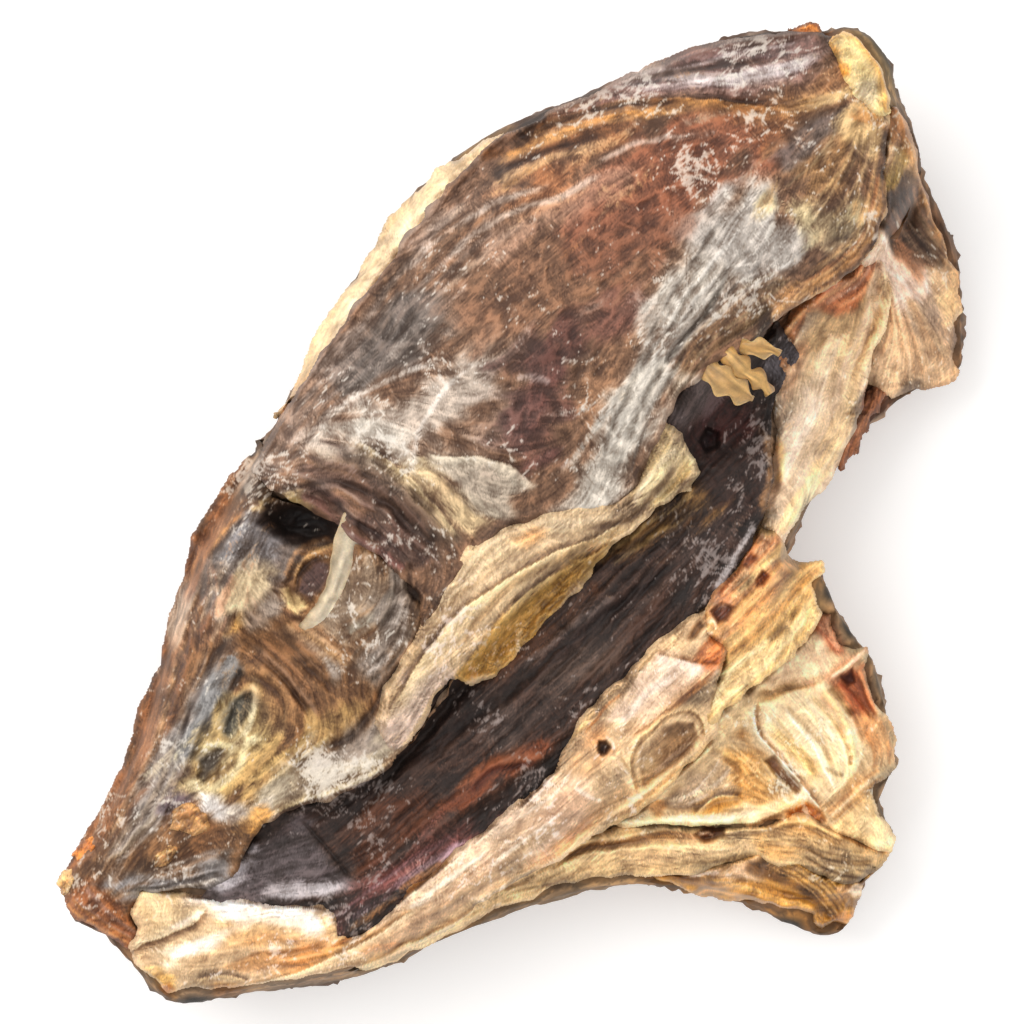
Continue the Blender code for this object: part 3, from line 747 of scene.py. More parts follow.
# Pale streaks along the fold of the crown, and the gutters between them painted dark as shade.
for keys, code in (
    ([(14, 80), (32, 80.5), (48, 77.5), (62, 72)], "cbbfb6"),
    ([(22, 76), (40, 76), (58, 70.5), (72, 66)], "c3b6ac"),
    ([(40, 83.5), (54, 80.5), (66, 75), (76, 70)], "d9b48a"),
    ([(62, 71), (74, 68), (84, 62), (92, 57)], "bdafa6"),
    ([(-12, 44), (-2, 52), (12, 56), (26, 53)], "d6cec6"),
    ([(-26, 66), (-10, 68), (6, 64), (20, 60)], "cfc6bd"),
):
    cord(keys, 0.5, 0.9, code, 0.7, 0.3)
for keys in ([(52, 88.5), (66, 83), (80, 75), (92, 65)], [(48, 84), (62, 79), (74, 72)],
             [(84, 79), (98, 70), (110, 60)]):
    crease(keys, 1.4, 0.8, "3e2517", 0.75)
cord([(50, 86), (64, 81), (78, 73.5), (90, 64.5)], 1.0, 0.8, "c08a4e", 0.8, shine=0.3)
# Tiny pits and dark crackle in the frosted band, and islands of dark red skin beside it.
patch([(30, 47), (38, 50), (42, 45), (38, 39), (31, 40)], "4c3029", 1.8, 0.8, 0.2)
patch([(12, 42), (20, 45), (24, 42), (20, 34), (12, 34)], "523630", 2.0, 0.7, 0.2)
weather(cheek_edge, 0.12, 0.26, 0.55, contrast=0.12, leather=0.17)
cheek_skin = lay("cheek_skin", cheek_edge)
fasten(cheek_skin, skin_finish)

# ------------------------------------------------------------------ crown
# A pale strip along the midline of the skull, crinkled at its edge: membrane dried onto bone, and
# held there by its own drying, beside the cheek's skin.
# Membrane dried thin over bone. It is smoother than the skin, so it has a low sheen, and a little
# light passes into it, which warms its pale edges.
membrane_finish = dried("dried membrane", pore=0.6, depth=0.12, dull=0.6, shiny=0.28, glow=0.15)
crown_edge = [
    (-26, 76), (-12, 80.5), (0, 85), (10, 87.5), (22, 90.6), (32, 91), (40, 93), (47, 92), (53, 92.3),
    (57, 90), (50, 87.6), (42, 86.6), (34, 85.4), (22, 83.6), (8, 80.2), (-6, 76.8), (-16, 75.6),
]
patch(crown_edge, "eacda4", 2.5, ragged=0, shine=0.4)
patch([(-24, 76.5), (-8, 81), (-2, 81), (-12, 77.5)], "d3944c", 1.6, 0.8)
sheaf([(-18, 78), (0, 83.8), (22, 89.5), (50, 91)], [(-10, 77.5), (8, 82), (24, 86), (48, 88)], 6, 0.4, 0.9,
      ("f4dcba", "cda26a", "edd2ac", "ddb177"), 0.7, shine=0.4)
weather(crown_edge, 0.05, 0.15, 0.0, relief_shade=0.35, contrast=0.06)
crown_strip = lay("crown_strip", crown_edge, lift=2.2, rim=1.6)
fasten(crown_strip, membrane_finish)

# ------------------------------------------------------------------ mouth
# The shut mouth: black-brown skin sunk between lip and jaw, darkest with painted shade under the lip,
# wrinkled lengthways and dusted with salt-pale fibres, turning red-brown where it meets the jaw.
mouth_edge = [
    (-107, 9), (-100, 11), (-92, 10.5), (-84, 13), (-74, 10), (-64, 6), (-50, 6), (-30, 10), (0, 12),
    (20, 12), (38, 18), (50, 23), (60, 22), (66, 17), (74, 17), (72, 9), (62, 6), (56, 0), (50, -7),
    (43, -12), (34, -15), (24, -18), (10, -19.5), (-5, -20), (-20, -21.5), (-38, -24.5), (-60, -24.5),
    (-78, -24), (-90, -21), (-90, -13), (-98, -5), (-106, 4),
]
patch(mouth_edge, "2e1f19", 2.5, ragged=0)
sheaf([(-98, 2), (-70, -2), (-40, 0), (0, 4), (38, 6)],
      [(-86, -14), (-60, -16), (-30, -19), (10, -17), (40, -11)], 26, 1.0, 1.5,
      ("413029", "1a0d07", "503e36", "261811", "372218", "5f4d45"), 0.6)
patch([(-106, 9), (-92, 10), (-78, 8), (-78, -13), (-86, -9), (-98, -1)], "5c5456", 1.8, 0.75)
crease([(-78.5, 7), (-78, -2), (-78.5, -12)], 1.2, 0.5, "251811")
patch([(-100, 12.5), (-90, 10), (-92, 7), (-102, 8)], "bcb6b9", 1.6, 0.7, 0.4)
patch([(-96, -1), (-88, -8), (-80, -13), (-83, -8), (-93, 1)], "cec7c8", 1.6, 0.7, 0.4)
patch([(-78, -2), (-60, -4), (-50, -9), (-55, -14), (-76, -13)], "4d2c1c", 3, 0.75)
patch([(-90, -13), (-76, -13), (-60, -15), (-48, -19), (-44, -23), (-64, -22), (-88, -19)], "6e453f", 2,
      0.85, 0.4)
sheaf([(-88, -15), (-70, -15.5), (-54, -18)], [(-86, -18.5), (-70, -20), (-52, -21.5)], 6, 0.6, 0.8,
      ("ac8e9c", "51261c", "c1a8b2", "764541"), 0.7)
cord([(-88, -19.3), (-76, -20), (-60, -21.5)], 0.7, 1.0, "885f39", 0.85, shine=0.5)
patch([(-50, -12), (-40, -10.5), (-32, -14), (-25, -19.5), (-36, -18), (-50, -17)], "643722", 2, 0.9, 0.6)
cord([(-50, -12.5), (-41, -11.5), (-33, -15.5), (-27, -19)], 1.0, 1.2, "754730")
crease([(-46, -14), (-38, -14.5), (-30, -19)], 1.3, 0.8, "2e0e06")
patch([(-36, -1), (-26, -1), (-24, -8), (-34, -13)], "5c524d", 2.5, 0.35)
patch([(-20, -4), (-2, -3), (0, -12), (-18, -14)], "5b5048", 3, 0.35)
cord([(-22, -1), (-10, -1), (0, -2.5), (8, -3)], 0.8, 1.2, "766c69", 0.55)
# Painted shade under the lip: a near-black crease along the mouth's seam and a near-black band just below the
# lip's edge.
crease([(-60, 1), (-30, -3), (0, -4.5), (30, -8)], 1.5, 1.6, "130806", 0.6)
patch([(-75, 8), (-60, 3), (-34, 6), (-30, 2), (-56, -1), (-72, 3)], "20120b", 2, 0.8, -1.5)
patch([(-30, 3), (-10, 1.5), (4, 2.5), (-6, 0), (-26, 0.3)], "402311", 1.5, 0.6)
# The corner of the mouth and the torn skin behind it.
patch([(36, 16), (54, 21), (60, 16), (59, 4), (50, -6), (42, -12), (34, -2), (40, 6)], "291913", 2.4, 0.85)
patch([(40, 12), (52, 13), (57, 8), (53, 4), (42, 4)], "341a16", 2, 0.9, -1.0)
# A deep pit at the corner, painted near-black as the shade inside it.
patch([(43, 9.5), (46, 10.5), (47.5, 8), (45.5, 6), (42.5, 7)], "250606", 1.2, 0.95, -3.5)
patch([(40, 19.5), (54, 20), (56, 15), (42, 14)], "665e5f", 2, 0.55)
patch([(64, 14), (74, 14), (70, 6), (64, 6)], "5d595d", 1.6, 0.85, -0.8)
patch([(14, 7), (30, 6), (38, 2), (36, -3), (24, -1), (12, 3)], "664b29", 2, 0.85, 0.5)
sheaf([(6, 5), (20, 4.5), (36, 2)], [(10, 1.5), (22, -0.5), (36, -3)], 5, 0.7, 0.8,
      ("856d46", "4e3218", "b4996a", "6c4728"), 0.7)
cord([(56, 4), (54, -2), (49, -7), (42, -12.5)], 0.9, 1.2, "8b6846", 0.85, shine=0.4)
cord([(22, -17), (32, -14), (42, -10.5)], 1.0, 0.9, "bbb4b3", 0.85)
weather(mouth_edge, 0.16, 0.42, 0.38, "b1a6a2", relief_shade=0.4)
mouth_skin = lay("mouth_skin", mouth_edge, lift=-0.8, rim=1.0)
fasten(mouth_skin, skin_finish)

# ------------------------------------------------------------------ upper lip
# A loose yellowish fold of skin over the upper jawbone, rolled in long soft folds. It runs into
# the snout's skin above and lies over the dark mouth below.
lip_edge = [
    (-53, 2.2), (-46, 3.6), (-38, 5.4), (-33, 6.3), (-30, 3.5), (-25, 1.6), (-12, 1.4), (0, 3),
    (8, 5.5), (16, 6), (26, 5.8), (34, 3.2), (38.5, 4.5), (40, 9), (41, 13), (39, 17.5), (35, 20),
    (31, 18), (27, 14), (20, 14), (14, 18.5), (6, 23.5), (-2, 26.5), (-10, 27), (-16, 25.5),
    (-24, 22.5), (-32, 20), (-42, 15.5), (-52, 11),
]
patch(lip_edge, "c1a684", 2.5, ragged=0)
patch([(-52, 9), (-40, 13), (-32, 9), (-34, 6), (-52, 2)], "ab978d", 2.5, 0.8)
patch([(-16, 27), (4, 26), (16, 18), (14, 12), (-4, 16), (-20, 18), (-30, 18), (-26, 22)], "c9af8d", 3, 0.8,
      0.4)
sheaf([(-34, 19), (-18, 22), (-2, 22), (12, 15), (22, 9)],
      [(-36, 12), (-20, 15), (-8, 14), (6, 11), (22, 8)], 8, 0.7, 1.2,
      ("dec79f", "a68763", "e6d0b0", "bfa078", "917252"), 0.6, shine=0.2)
lap([(24, 8.5), (12, 10), (4, 13.2), (-8, 15.7), (-20, 16.8), (-34, 14), (-50, 9.5)], 1.8, 3.5, "dbc49c")
crease([(-30, 9), (-20, 12.5), (-8, 13.8), (4, 11), (18, 8)], 1.2, 1.1, "8c6b48", 0.6)
lap([(16, 6.5), (6, 8), (-4, 10.5), (-12, 10.3), (-22, 8), (-32, 6)], 1.9, 2.6, "cfb07c")
patch([(-30, 5.5), (-20, 8), (-10, 9.5), (2, 8.5), (14, 6.5), (4, 4), (-8, 1.6), (-24, 1.8)], "aa864c", 1.4,
      0.95, -1.6, shine=0.45)
sheaf([(-27, 5), (-14, 7.5), (2, 7)], [(-24, 2.5), (-10, 2.6), (4, 4)], 5, 0.5, 0.8,
      ("c9a562", "805e33", "b28b52"), 0.6, shine=0.4)
cord([(-17, 1.8), (-15.5, 4), (-13, 6)], 0.5, 0.5, "dac098", 0.8)
patch([(20, 9), (30, 13), (39, 16), (40, 10), (38, 4), (30, 4)], "dccaa0", 2.4, 0.9, 0.6, shine=0.25)
sheaf([(22, 11), (31, 13.5), (39, 13)], [(24, 6.5), (31, 6), (38, 5)], 5, 0.6, 1.0,
      ("eedabd", "b79b6c", "dfc8a0"), 0.7)
crease([(10, 14), (20, 8.5), (30, 8.7), (38, 10)], 1.3, 0.9, "715a48", 0.7)
patch([(26, 18), (36, 19.5), (40, 15), (31, 12.5)], "a98e68", 1.8, 0.7)
patch([(-2, 22), (2, 20), (4, 17), (-2, 17.5)], "bd7f48", 2, 0.5)
cord([(-52, 2.6), (-44, 4), (-34, 6.5)], 0.5, 0.7, "d7b88c", 0.8)
weather(lip_edge, 0.08, 0.2, 0.3, "f1e1d8", relief_shade=0.4, contrast=0.12)
lip_fold = lay("upper_lip", lip_edge, lift=0.8, rim=3.5)
# Soft skin yellowed by its own oil, like old parchment: half matt, with a little light inside it.
lip_finish = dried("yellowed lip skin", pore=0.7, depth=0.15, dull=0.64, shiny=0.32, glow=0.1)
fasten(lip_fold, lip_finish)

# ------------------------------------------------------------------ chin and near jawbone
# The blunt chin and the long left jawbone: pale, salty bone and gristle under torn skin, with one
# nerve hole and a thin flake of bone lifting at the back. Parchment-like, dry and chalky.
# Bone and gristle with a chalky, fibrous surface: pale and nearly matt, and slightly see-through at
# thin edges, so that the shadows in its folds stay warm.
bone_finish = dried("dried gristle and bone", pore=0.7, depth=0.16, dull=0.66, shiny=0.3, glow=0.12)
jaw_edge = [
    (-129.4, 8), (-128, 11.5), (-124.6, 11), (-121.5, 12), (-120, 16), (-115, 18.3), (-110, 13.5),
    (-106, 9.5), (-104, 5), (-100, 3.5), (-96, -3), (-91, -8), (-87, -11), (-86, -15), (-89, -18.5),
    (-84, -21.3), (-70, -21.6), (-52, -21.8), (-45, -22.8), (-38, -22.3), (-30, -22), (-25, -19.8),
    (-15, -17.8), (0, -16.7), (8, -16.5), (15, -17.3), (19, -19), (16, -24), (17, -29), (10, -33),
    (4, -38), (2, -41), (-12, -42.8), (-22, -42.8), (-30, -41), (-40, -38.5), (-50, -36), (-62, -33),
    (-72, -33), (-82, -32.4), (-89, -29), (-94, -25), (-101, -20.5), (-110, -14.5), (-117, -9.5),
    (-121, -5), (-127, -2.4), (-128.6, 3),
]
patch(jaw_edge, "e2c199", 2.5, ragged=0)
sheaf([(-112, -4), (-90, -20), (-60, -24), (-20, -21)], [(-116, -9), (-92, -25), (-60, -32), (-24, -40)], 14,
      0.5, 1.1, ("efd2ae", "c8a174", "f4dbbf", "b89067", "dcb78a"), 0.5)
patch([(-122, 8), (-119, 16), (-114, 17.5), (-108, 10), (-108, 6), (-114, 6)], "e6c596", 2, 0.9, 0.4)
patch([(-125, 6), (-114, 5), (-104, 2), (-96, -3), (-90, -9), (-88, -14), (-95, -13), (-106, -5), (-116, -1),
       (-124, 1)], "ebd3ae", 2, 0.9, 0.5)
patch([(-108, 3), (-98, -2), (-91, -9), (-89, -16), (-96, -13), (-104, -6), (-110, -2)], "e3b57e", 2, 0.6)
lap([(-87, -13), (-91, -8), (-96, -2.5), (-101, 3), (-106, 8), (-111, 13)], 1.6, 2.2, "f9ece4", under_shade="42281a")
cord([(-118, 8), (-109, 6), (-103, 4)], 0.8, 1.0, "fef3ed", 0.9)
cord([(-123, 3), (-115, 2), (-108, 0), (-100, -4)], 0.8, 1.2, "f8e7d2", 0.8)
cord([(-121, 0), (-112, -3), (-104, -8), (-97, -14)], 0.9, 1.4, "e3bd91", 0.8)
crease([(-109, -7), (-104, -10), (-100, -13.5), (-96, -16), (-91, -19)], 1.5, 1.0, "7f4c2a", 0.8)
cord([(-107, -4.5), (-101, -7), (-97, -12), (-94, -15)], 0.7, 0.9, "ac7248", 0.6)
patch([(-128, 5), (-124, 3), (-122, -1), (-126, -2.4), (-129, 1)], "d8a85a", 1.6, 0.9, 0.3, shine=0.5)
patch([(-128, -0.5), (-125, -0.8), (-125, -2.6), (-128, -2.4)], "a8672f", 0.8, 0.9)
patch([(-120, -4), (-115, -6), (-111, -12), (-113, -13.5), (-118, -10)], "b27d43", 1.5, 0.9, -0.9, shine=0.4)
lap([(-110, -13), (-114, -7), (-120, -3)], 0.8, 1.6, "e9c89b")
patch([(-100, -16), (-92, -19.5), (-84, -20), (-66, -21), (-60, -22.4), (-78, -22.4), (-90, -21.6),
       (-98, -18)], "d29851", 1.2, 0.85, shine=0.45)
crease([(-96, -18), (-88, -20.6), (-76, -21.4), (-64, -21.8)], 0.8, 0.6, "945120", 0.7)
sheaf([(-104, -12), (-94, -20), (-80, -23), (-66, -24)], [(-112, -13), (-96, -23), (-84, -28), (-70, -31)],
      8, 0.7, 0.9, ("f3d6b1", "c39563", "e4bf8c", "a77b4f"), 0.7)
patch([(-84, -25), (-60, -26), (-46, -29), (-48, -31), (-66, -30), (-82, -28.5)], "b69272", 1.6, 0.8)
sheaf([(-82, -25), (-62, -26.5), (-46, -28)], [(-80, -28.5), (-62, -30.5), (-44, -33)], 7, 0.5, 0.7,
      ("97785d", "d0b192", "a68368", "dfc3a6"), 0.65)
patch([(-90, -27.5), (-84, -28), (-78, -31), (-84, -32.6), (-88, -30.5)], "d1a567", 1.2, 0.85, 0.4, shine=0.3)
cord([(-88, -24), (-82, -27.5), (-80, -31)], 0.7, 0.9, "b37a50", 0.7)
sheaf([(-70, -31), (-52, -34.5), (-34, -38.4)], [(-72, -33.5), (-54, -36), (-36, -40)], 4, 0.8, 0.8,
      ("e7c390", "bd8554", "f2d5ad"), 0.75)
lap([(-86, -20.8), (-70, -22.2), (-52, -22.6), (-44, -23.6), (-36, -23.2), (-28, -22)][::-1], 0.6, 2.0,
    "f2d9c3", under_shade="43281a")
patch([(-56, -23), (-40, -23.4), (-28, -23), (-25, -30), (-30, -37), (-44, -35), (-54, -29)], "dfc0a4", 2.5,
      0.75)
patch([(-42, -26), (-31, -27), (-28, -34), (-34, -37), (-42, -33)], "c7a184", 3, 0.75)
patch([(-31, -34), (-19, -34), (-19, -38), (-30, -38.4)], "a17e5c", 2, 0.6)
patch([(-26, -22), (-15, -21), (-14, -26), (-17, -29), (-24, -28), (-28, -25)], "b68358", 2.2, 0.8)
cord([(-29, -28), (-28, -33), (-26.5, -36)], 0.4, 0.6, "f2e1d2", 0.7)
patch([(-25, -20.2), (-14, -18.2), (0, -17.1), (4, -17.4), (0, -18.4), (-14, -19.8)], "dab47f", 0.9, 0.9, 0.4)
cord([(-20, -21.2), (-13, -20.6), (-6, -19.9)], 0.3, 0.5, "b26b37", 0.7)
patch([(-15, -22), (-6, -20), (4, -20), (11, -28), (0, -28.5), (-10, -27.5)], "edd2bf", 2, 0.9, 0.6)
patch([(-12, -25), (-2, -23.5), (6, -25.5), (3, -27.5), (-9, -27.5)], "d9ad88", 1.6, 0.7)
cord([(-13, -25.5), (-4, -23.6), (4, -24.6)], 0.5, 1.0, "f9eae0", 0.8)
lap([(13.4, -30.2), (9.5, -26), (5.4, -20.6), (3.4, -18.2)], 1.1, 2.6, "f4e1d6", under_shade="6f3c1d", fade=0.08)
lap([(-13, -28.8), (-4, -28.9), (5, -29.4), (13, -30.4)], 0.9, 1.6, "dfad83", under_shade="9b582e")
cord([(-11, -29.8), (0, -30), (10, -31)], 0.5, 0.7, "c28148", 0.75, shine=0.3)
# The nerve hole, painted near-black as the shade inside it.
patch([(-19.4, -26), (-18, -25.3), (-16.6, -26.2), (-16.8, -27.6), (-18.4, -28), (-19.4, -27.2)], "2a1309",
      0.7, 1.0, -4.0, 0.2)
cord([(-16.2, -25), (-15.8, -27), (-16.8, -28.6)], 0.6, 0.5, "f7e7dc", 0.8)
patch([(10, -24), (16, -24.5), (17, -28.5), (14, -30.5), (10, -28)], "a55b2f", 1.6, 0.9, -0.5, shine=0.3)
sheaf([(9, -25.5), (16, -27)], [(12, -29), (17, -29.6)], 5, 0.4, 0.5, ("cb824b", "873f1f", "d89c67"), 0.8)
patch([(6, -17.4), (14, -18), (17, -20), (13, -22.5), (7, -21)], "ddbb92", 1.6, 0.9, 0.2)
patch([(12, -20.8), (16, -20.3), (16, -21.6), (13, -21.8)], "623e22", 0.8, 0.9, -1.0)
# The oval gap between the jawbone and its lower strut, with a grey membrane stretched in it.
patch([(-16.6, -38.6), (-15, -34.6), (-12, -32.2), (-6, -31.2), (-2.4, -32.4), (0.2, -35.4), (-1, -38.4),
       (-8, -39.8)], "b5926d", 1.0, 1.0, -2.2, 0.5)
patch([(-16, -38), (-14.4, -34.4), (-11, -33), (-10, -37), (-13, -38.6)], "dbbc92", 1.6, 0.9)
patch([(-6, -31.6), (-2.4, -32.8), (-0.4, -35.6), (-2.6, -35.4), (-7, -33.6)], "856444", 1.6, 0.85, -0.6)
sheaf([(-15, -39), (-8, -39.3), (-1, -38.2)], [(-12, -36.4), (-7, -36.4), (-2, -35.6)], 5, 0.3, 0.5,
      ("d2b9a4", "a08266", "e3cebf"), 0.6)
lap([(-18.4, -39), (-17.4, -35.6), (-14.4, -32), (-9.5, -30.3), (-3, -30.3), (1, -32.6), (2, -36),
     (0, -39.6)], 1.6, 1.5, "e6c597", under_shade="8f683f", fade=0.03)
sheaf([(-20, -31), (-18.6, -38)], [(-15.6, -30.4), (-17.2, -36)], 4, 0.5, 0.5,
      ("f5dcc3", "c79e70", "edceac"), 0.75)
cord([(-46, -36.4), (-33, -38.8), (-20, -40), (-8, -40.2), (2, -39)], 1.4, 1.1, "efcfa4", 0.85)
cord([(-34, -40.6), (-22, -41.8), (-8, -42), (0, -41.2), (3, -40)], 1.0, 0.9, "d7b17d", 0.8)
crease([(-30, -39.8), (-20, -41), (-6, -41.2)], 0.7, 0.5, "a88054", 0.6)
# Salt dried white on the chin, and tan hollows with torn edges around it.
patch([(-124, 4), (-117, 3.4), (-110, 1.6), (-108, -1), (-116, 0), (-123, 1.6)], "fbf5ec", 1.6, 0.85, 0.5)
patch([(-105, 7), (-100, 1), (-94, -6), (-90, -12), (-92, -15), (-97, -8), (-103, -1), (-107, 4)], "fbf6f0",
      1.4, 0.9, 0.5)
patch([(-112, -6), (-104, -9), (-98, -14), (-92, -18), (-98, -19), (-106, -14), (-112, -10)], "bd8c5e", 2,
      0.8, -0.5)
patch([(-106, 0), (-99, -5), (-95, -11), (-99, -11), (-105, -6), (-109, -2)], "c99a66", 2, 0.6, -0.3)
patch([(-116, 14), (-111, 10), (-107, 5), (-113, 7), (-119, 9)], "e6cfa8", 2, 0.7, 0.5)
lap([(-128, 10), (-120, 7.6), (-112, 5.6), (-106, 6.4)], 0.8, 2.0, "f0dcb8", under_shade="7a5436")
lap([(-116, -10), (-106, -15.6), (-96, -20), (-84, -23.6), (-70, -25)][::-1], 0.7, 1.6, "efd9b4",
    under_shade="8d6238")
lap([(-98, -24), (-86, -28), (-72, -31.6), (-58, -33.6)][::-1], 0.7, 1.6, "ecd3aa", under_shade="94693e")
for keys in ([(-76, -24), (-62, -25), (-48, -26.4)], [(-58, -28), (-44, -30), (-30, -30.6)],
             [(-46, -25), (-34, -26), (-22, -24)]):
    cord(keys, 0.4, 0.6, "f4eadb", 0.7, 0.3)
patch([(-52, -22.6), (-40, -22.8), (-36, -27), (-48, -27)], "c9b29c", 2, 0.6)
patch([(-14, -22), (4, -20.6), (8, -24), (0, -27.6), (-12, -27)], "e2cdb6", 2, 0.5)
weather(jaw_edge, 0.11, 0.16, 0.3, "fef2ea", relief_shade=0.5, contrast=0.1)
near_jaw = lay("near_jaw", jaw_edge, lift=1.0, rim=3.0)
fasten(near_jaw, bone_finish)

# ------------------------------------------------------------------ far jaw
# The right jaw behind it, a long band of grey-gold fibres that ends in split strands. It is gristle
# and bone, grown together with the near jaw at the chin.
far_jaw_edge = [
    (-92, -26.5), (-84, -27), (-70, -28.5), (-56, -32), (-44, -35), (-34, -38.5), (-28, -42),
    (-20, -48), (-14, -54), (-8, -59), (-2, -63), (3, -65.5), (6, -70), (9, -76), (12, -82), (15, -87),
    (12, -88), (8, -88.5), (3, -88), (-1, -82), (-4, -74), (-9, -67), (-16, -63.4), (-23, -60.4),
    (-30, -54.6), (-40, -47), (-50, -41.4), (-60, -37.6), (-70, -34.6), (-82, -32.6), (-90, -29),
]
patch(far_jaw_edge, "d8b687", 2.5, ragged=0)
sheaf([(-88, -27.5), (-60, -32.5), (-36, -39.5), (-16, -54), (4, -68), (14, -86)],
      [(-86, -31), (-60, -37), (-36, -48), (-18, -60.5), (-4, -70), (4, -86)], 18, 0.8, 0.85,
      ("f0d1a2", "b38f63", "e4c293", "a18158", "ffe4bd", "c6a47a"), 0.75)
patch([(-62, -35), (-46, -38), (-34, -44), (-30, -52), (-44, -44), (-58, -38)], "e5c392", 2, 0.6)
patch([(-32, -44), (-22, -50), (-14, -58), (-20, -59), (-30, -51)], "c5a27a", 2, 0.6)
crease([(-46, -37.4), (-36, -41), (-28, -46), (-20, -51.4), (-14, -57)], 2.2, 0.9, "784d28", 0.85)
crease([(-40, -41), (-30, -47.5), (-22, -54)], 1.2, 0.6, "9e7649", 0.6)
cord([(-46, -39), (-34, -44.5), (-24, -52), (-14, -60), (-4, -67)], 1.0, 1.2, "e9c99c", 0.75)
# A small hole, painted dark brown as the shade inside it, with a pale rim.
patch([(-16, -54.4), (-13, -54.6), (-9.4, -58), (-11, -59), (-15.4, -57)], "5b3012", 1.0, 1.0, -2.4, 0.4)
cord([(-15.6, -54.8), (-13.6, -56), (-13, -58)], 0.4, 0.4, "e7c8ac", 0.7)
patch([(-8, -61), (0, -65), (4, -70), (9, -78), (5, -79), (-2, -70), (-8, -64)], "b38550", 1.6, 0.75, -0.3)
sheaf([(-6, -61), (3, -68), (11, -82)], [(-9, -64), (-2, -70), (6, -82)], 7, 0.7, 0.6,
      ("ddb37b", "8d6438", "ca9c63", "f1ce9a"), 0.75)
patch([(0, -72), (6, -77), (12, -86), (6, -87), (1, -80)], "a3845c", 1.8, 0.7)
sheaf([(1, -72), (6, -80), (13, -87)], [(-2, -73), (0, -80), (5, -87)], 9, 0.9, 0.6,
      ("69492a", "c9a87d", "9f7e57", "e4c69d", "4b3019"), 0.8)
crease([(8, -76), (11, -82), (14.5, -87)], 1.6, 0.8, "754a22", 0.8)
weather(far_jaw_edge, 0.16, 0.2, 0.2, "fff6e4", relief_shade=0.6, contrast=0.14)
far_jaw = lay("far_jaw", far_jaw_edge, lift=0.6, rim=3.0)
fasten(far_jaw, bone_finish)

# A leathery amber flap hangs under the far jaw, dark where it is thickest.
flap_edge = [
    (-30, -53.6), (-23, -59), (-15, -62.6), (-8, -66), (-3, -72), (0, -80), (5, -85.6), (9, -86.6),
    (9, -88.6), (4, -89.6), (1, -90.4), (-2, -92), (-4.6, -92.6), (-6, -90), (-9.6, -89.6),
    (-10.4, -86), (-8.8, -84.6), (-11, -81), (-14, -76.4), (-20, -71.4), (-24, -67), (-27, -61),
]
patch(flap_edge, "cf974b", 2.5, ragged=0, shine=0.5)
sheaf([(-29, -55), (-22, -69), (-10, -86)], [(-23, -60), (-12, -68), (-4, -86)], 9, 0.7, 0.9,
      ("e0ac5f", "a26e31", "f0c582", "8b5e2c"), 0.7, shine=0.5)
patch([(-29, -55), (-23, -59), (-18, -64), (-21, -66), (-26, -61)], "57371e", 1.4, 0.9, -0.6)
patch([(-22, -60.6), (-14, -62.8), (-8, -66.6), (-13, -69), (-20, -66)], "c6a587", 1.6, 0.9, 0.4)
cord([(-24, -60), (-20, -62.5), (-17, -64.6)], 0.5, 0.5, "f8e3d4", 0.8)
patch([(-11, -67), (-7, -69), (-4.6, -76), (-4, -86), (-5, -91), (-8, -84), (-7.4, -76)], "4f3319", 1.4, 0.9,
      -0.5)
patch([(-6.6, -69), (-2, -76), (-0.5, -84), (-3, -88), (-4.6, -80)], "917045", 1.4, 0.85, 0.3)
sheaf([(-8, -70), (-5.6, -80), (-5.6, -90)], [(-4, -72), (-1.6, -80), (-2, -90)], 6, 0.7, 0.5,
      ("3b240f", "9d7b4e", "593b1f", "c19c6d"), 0.8)
patch([(-10, -85), (-7, -86.6), (-6.4, -89.4), (-10, -89.2)], "c88c3f", 0.8, 0.9, 0.3)
patch([(-1, -83.4), (5, -84.6), (8, -87), (4, -89.4), (-2, -88)], "cfa279", 1.2, 0.9, 0.6)
patch([(0.4, -85.8), (3.4, -85.6), (4.6, -88), (2.4, -89.6), (0.2, -88.4)], "fbebdc", 0.8, 1.0, 1.2, 0.3)
patch([(-6, -88.4), (-3.4, -88.6), (-2.4, -91), (-5, -92)], "aa723a", 0.8, 0.8)
weather(flap_edge, 0.12, 0.2, 0.12, relief_shade=0.6, contrast=0.12)
jaw_flap = lay("jaw_flap", flap_edge, lift=-0.5, rim=3.0)
# Skin full of oil that has dried as hard as glue: amber, half clear, with broad wet-looking lights.
flap_finish = dried("amber skin, dried hard", pore=0.7, depth=0.14, dull=0.58, shiny=0.24, glow=0.15)
fasten(jaw_flap, flap_finish)

# ------------------------------------------------------------------ throat
# The opened throat behind the jaw: struts of pale gristle with thin golden and grey membranes
# between them, a cream sheet that fans out at the back and red-brown flesh along its torn edge.
throat_edge = [
    (-28, -41), (-20, -42), (-10, -42), (0, -41), (4, -37.6), (8, -37), (16, -38.4), (26, -38.8),
    (34, -38.2), (38, -36.4), (40.6, -38), (38, -42), (36.4, -45), (38, -47.4), (42, -49),
    (40.6, -51.6), (37.6, -52.8), (35, -57), (33.4, -62), (33, -67), (29.6, -70.6), (27.4, -74),
    (24, -74.4), (21.6, -75), (18.6, -80), (17.8, -85), (15, -87.4), (12.4, -85.6), (9.4, -79),
    (6, -73), (2, -66.5), (-4, -62.6), (-10, -57.6), (-16, -52), (-22, -46.6), (-27, -43),
]
patch(throat_edge, "eccda1", 2.5, ragged=0)
patch([(-17, -44), (0, -43), (1, -50), (-4, -56), (-10, -53), (-15, -48)], "c9aa86", 1.8, 0.95, -2.0)
patch([(-16, -45), (-4, -44), (-6, -48), (-14, -48.6)], "a99078", 1.6, 0.7)
sheaf([(-15, -45.6), (-6, -46), (0, -44)], [(-12, -50), (-6, -52), (0, -52)], 7, 0.25, 0.5,
      ("ebd4bd", "a18a6d", "fef0e1"), 0.55)
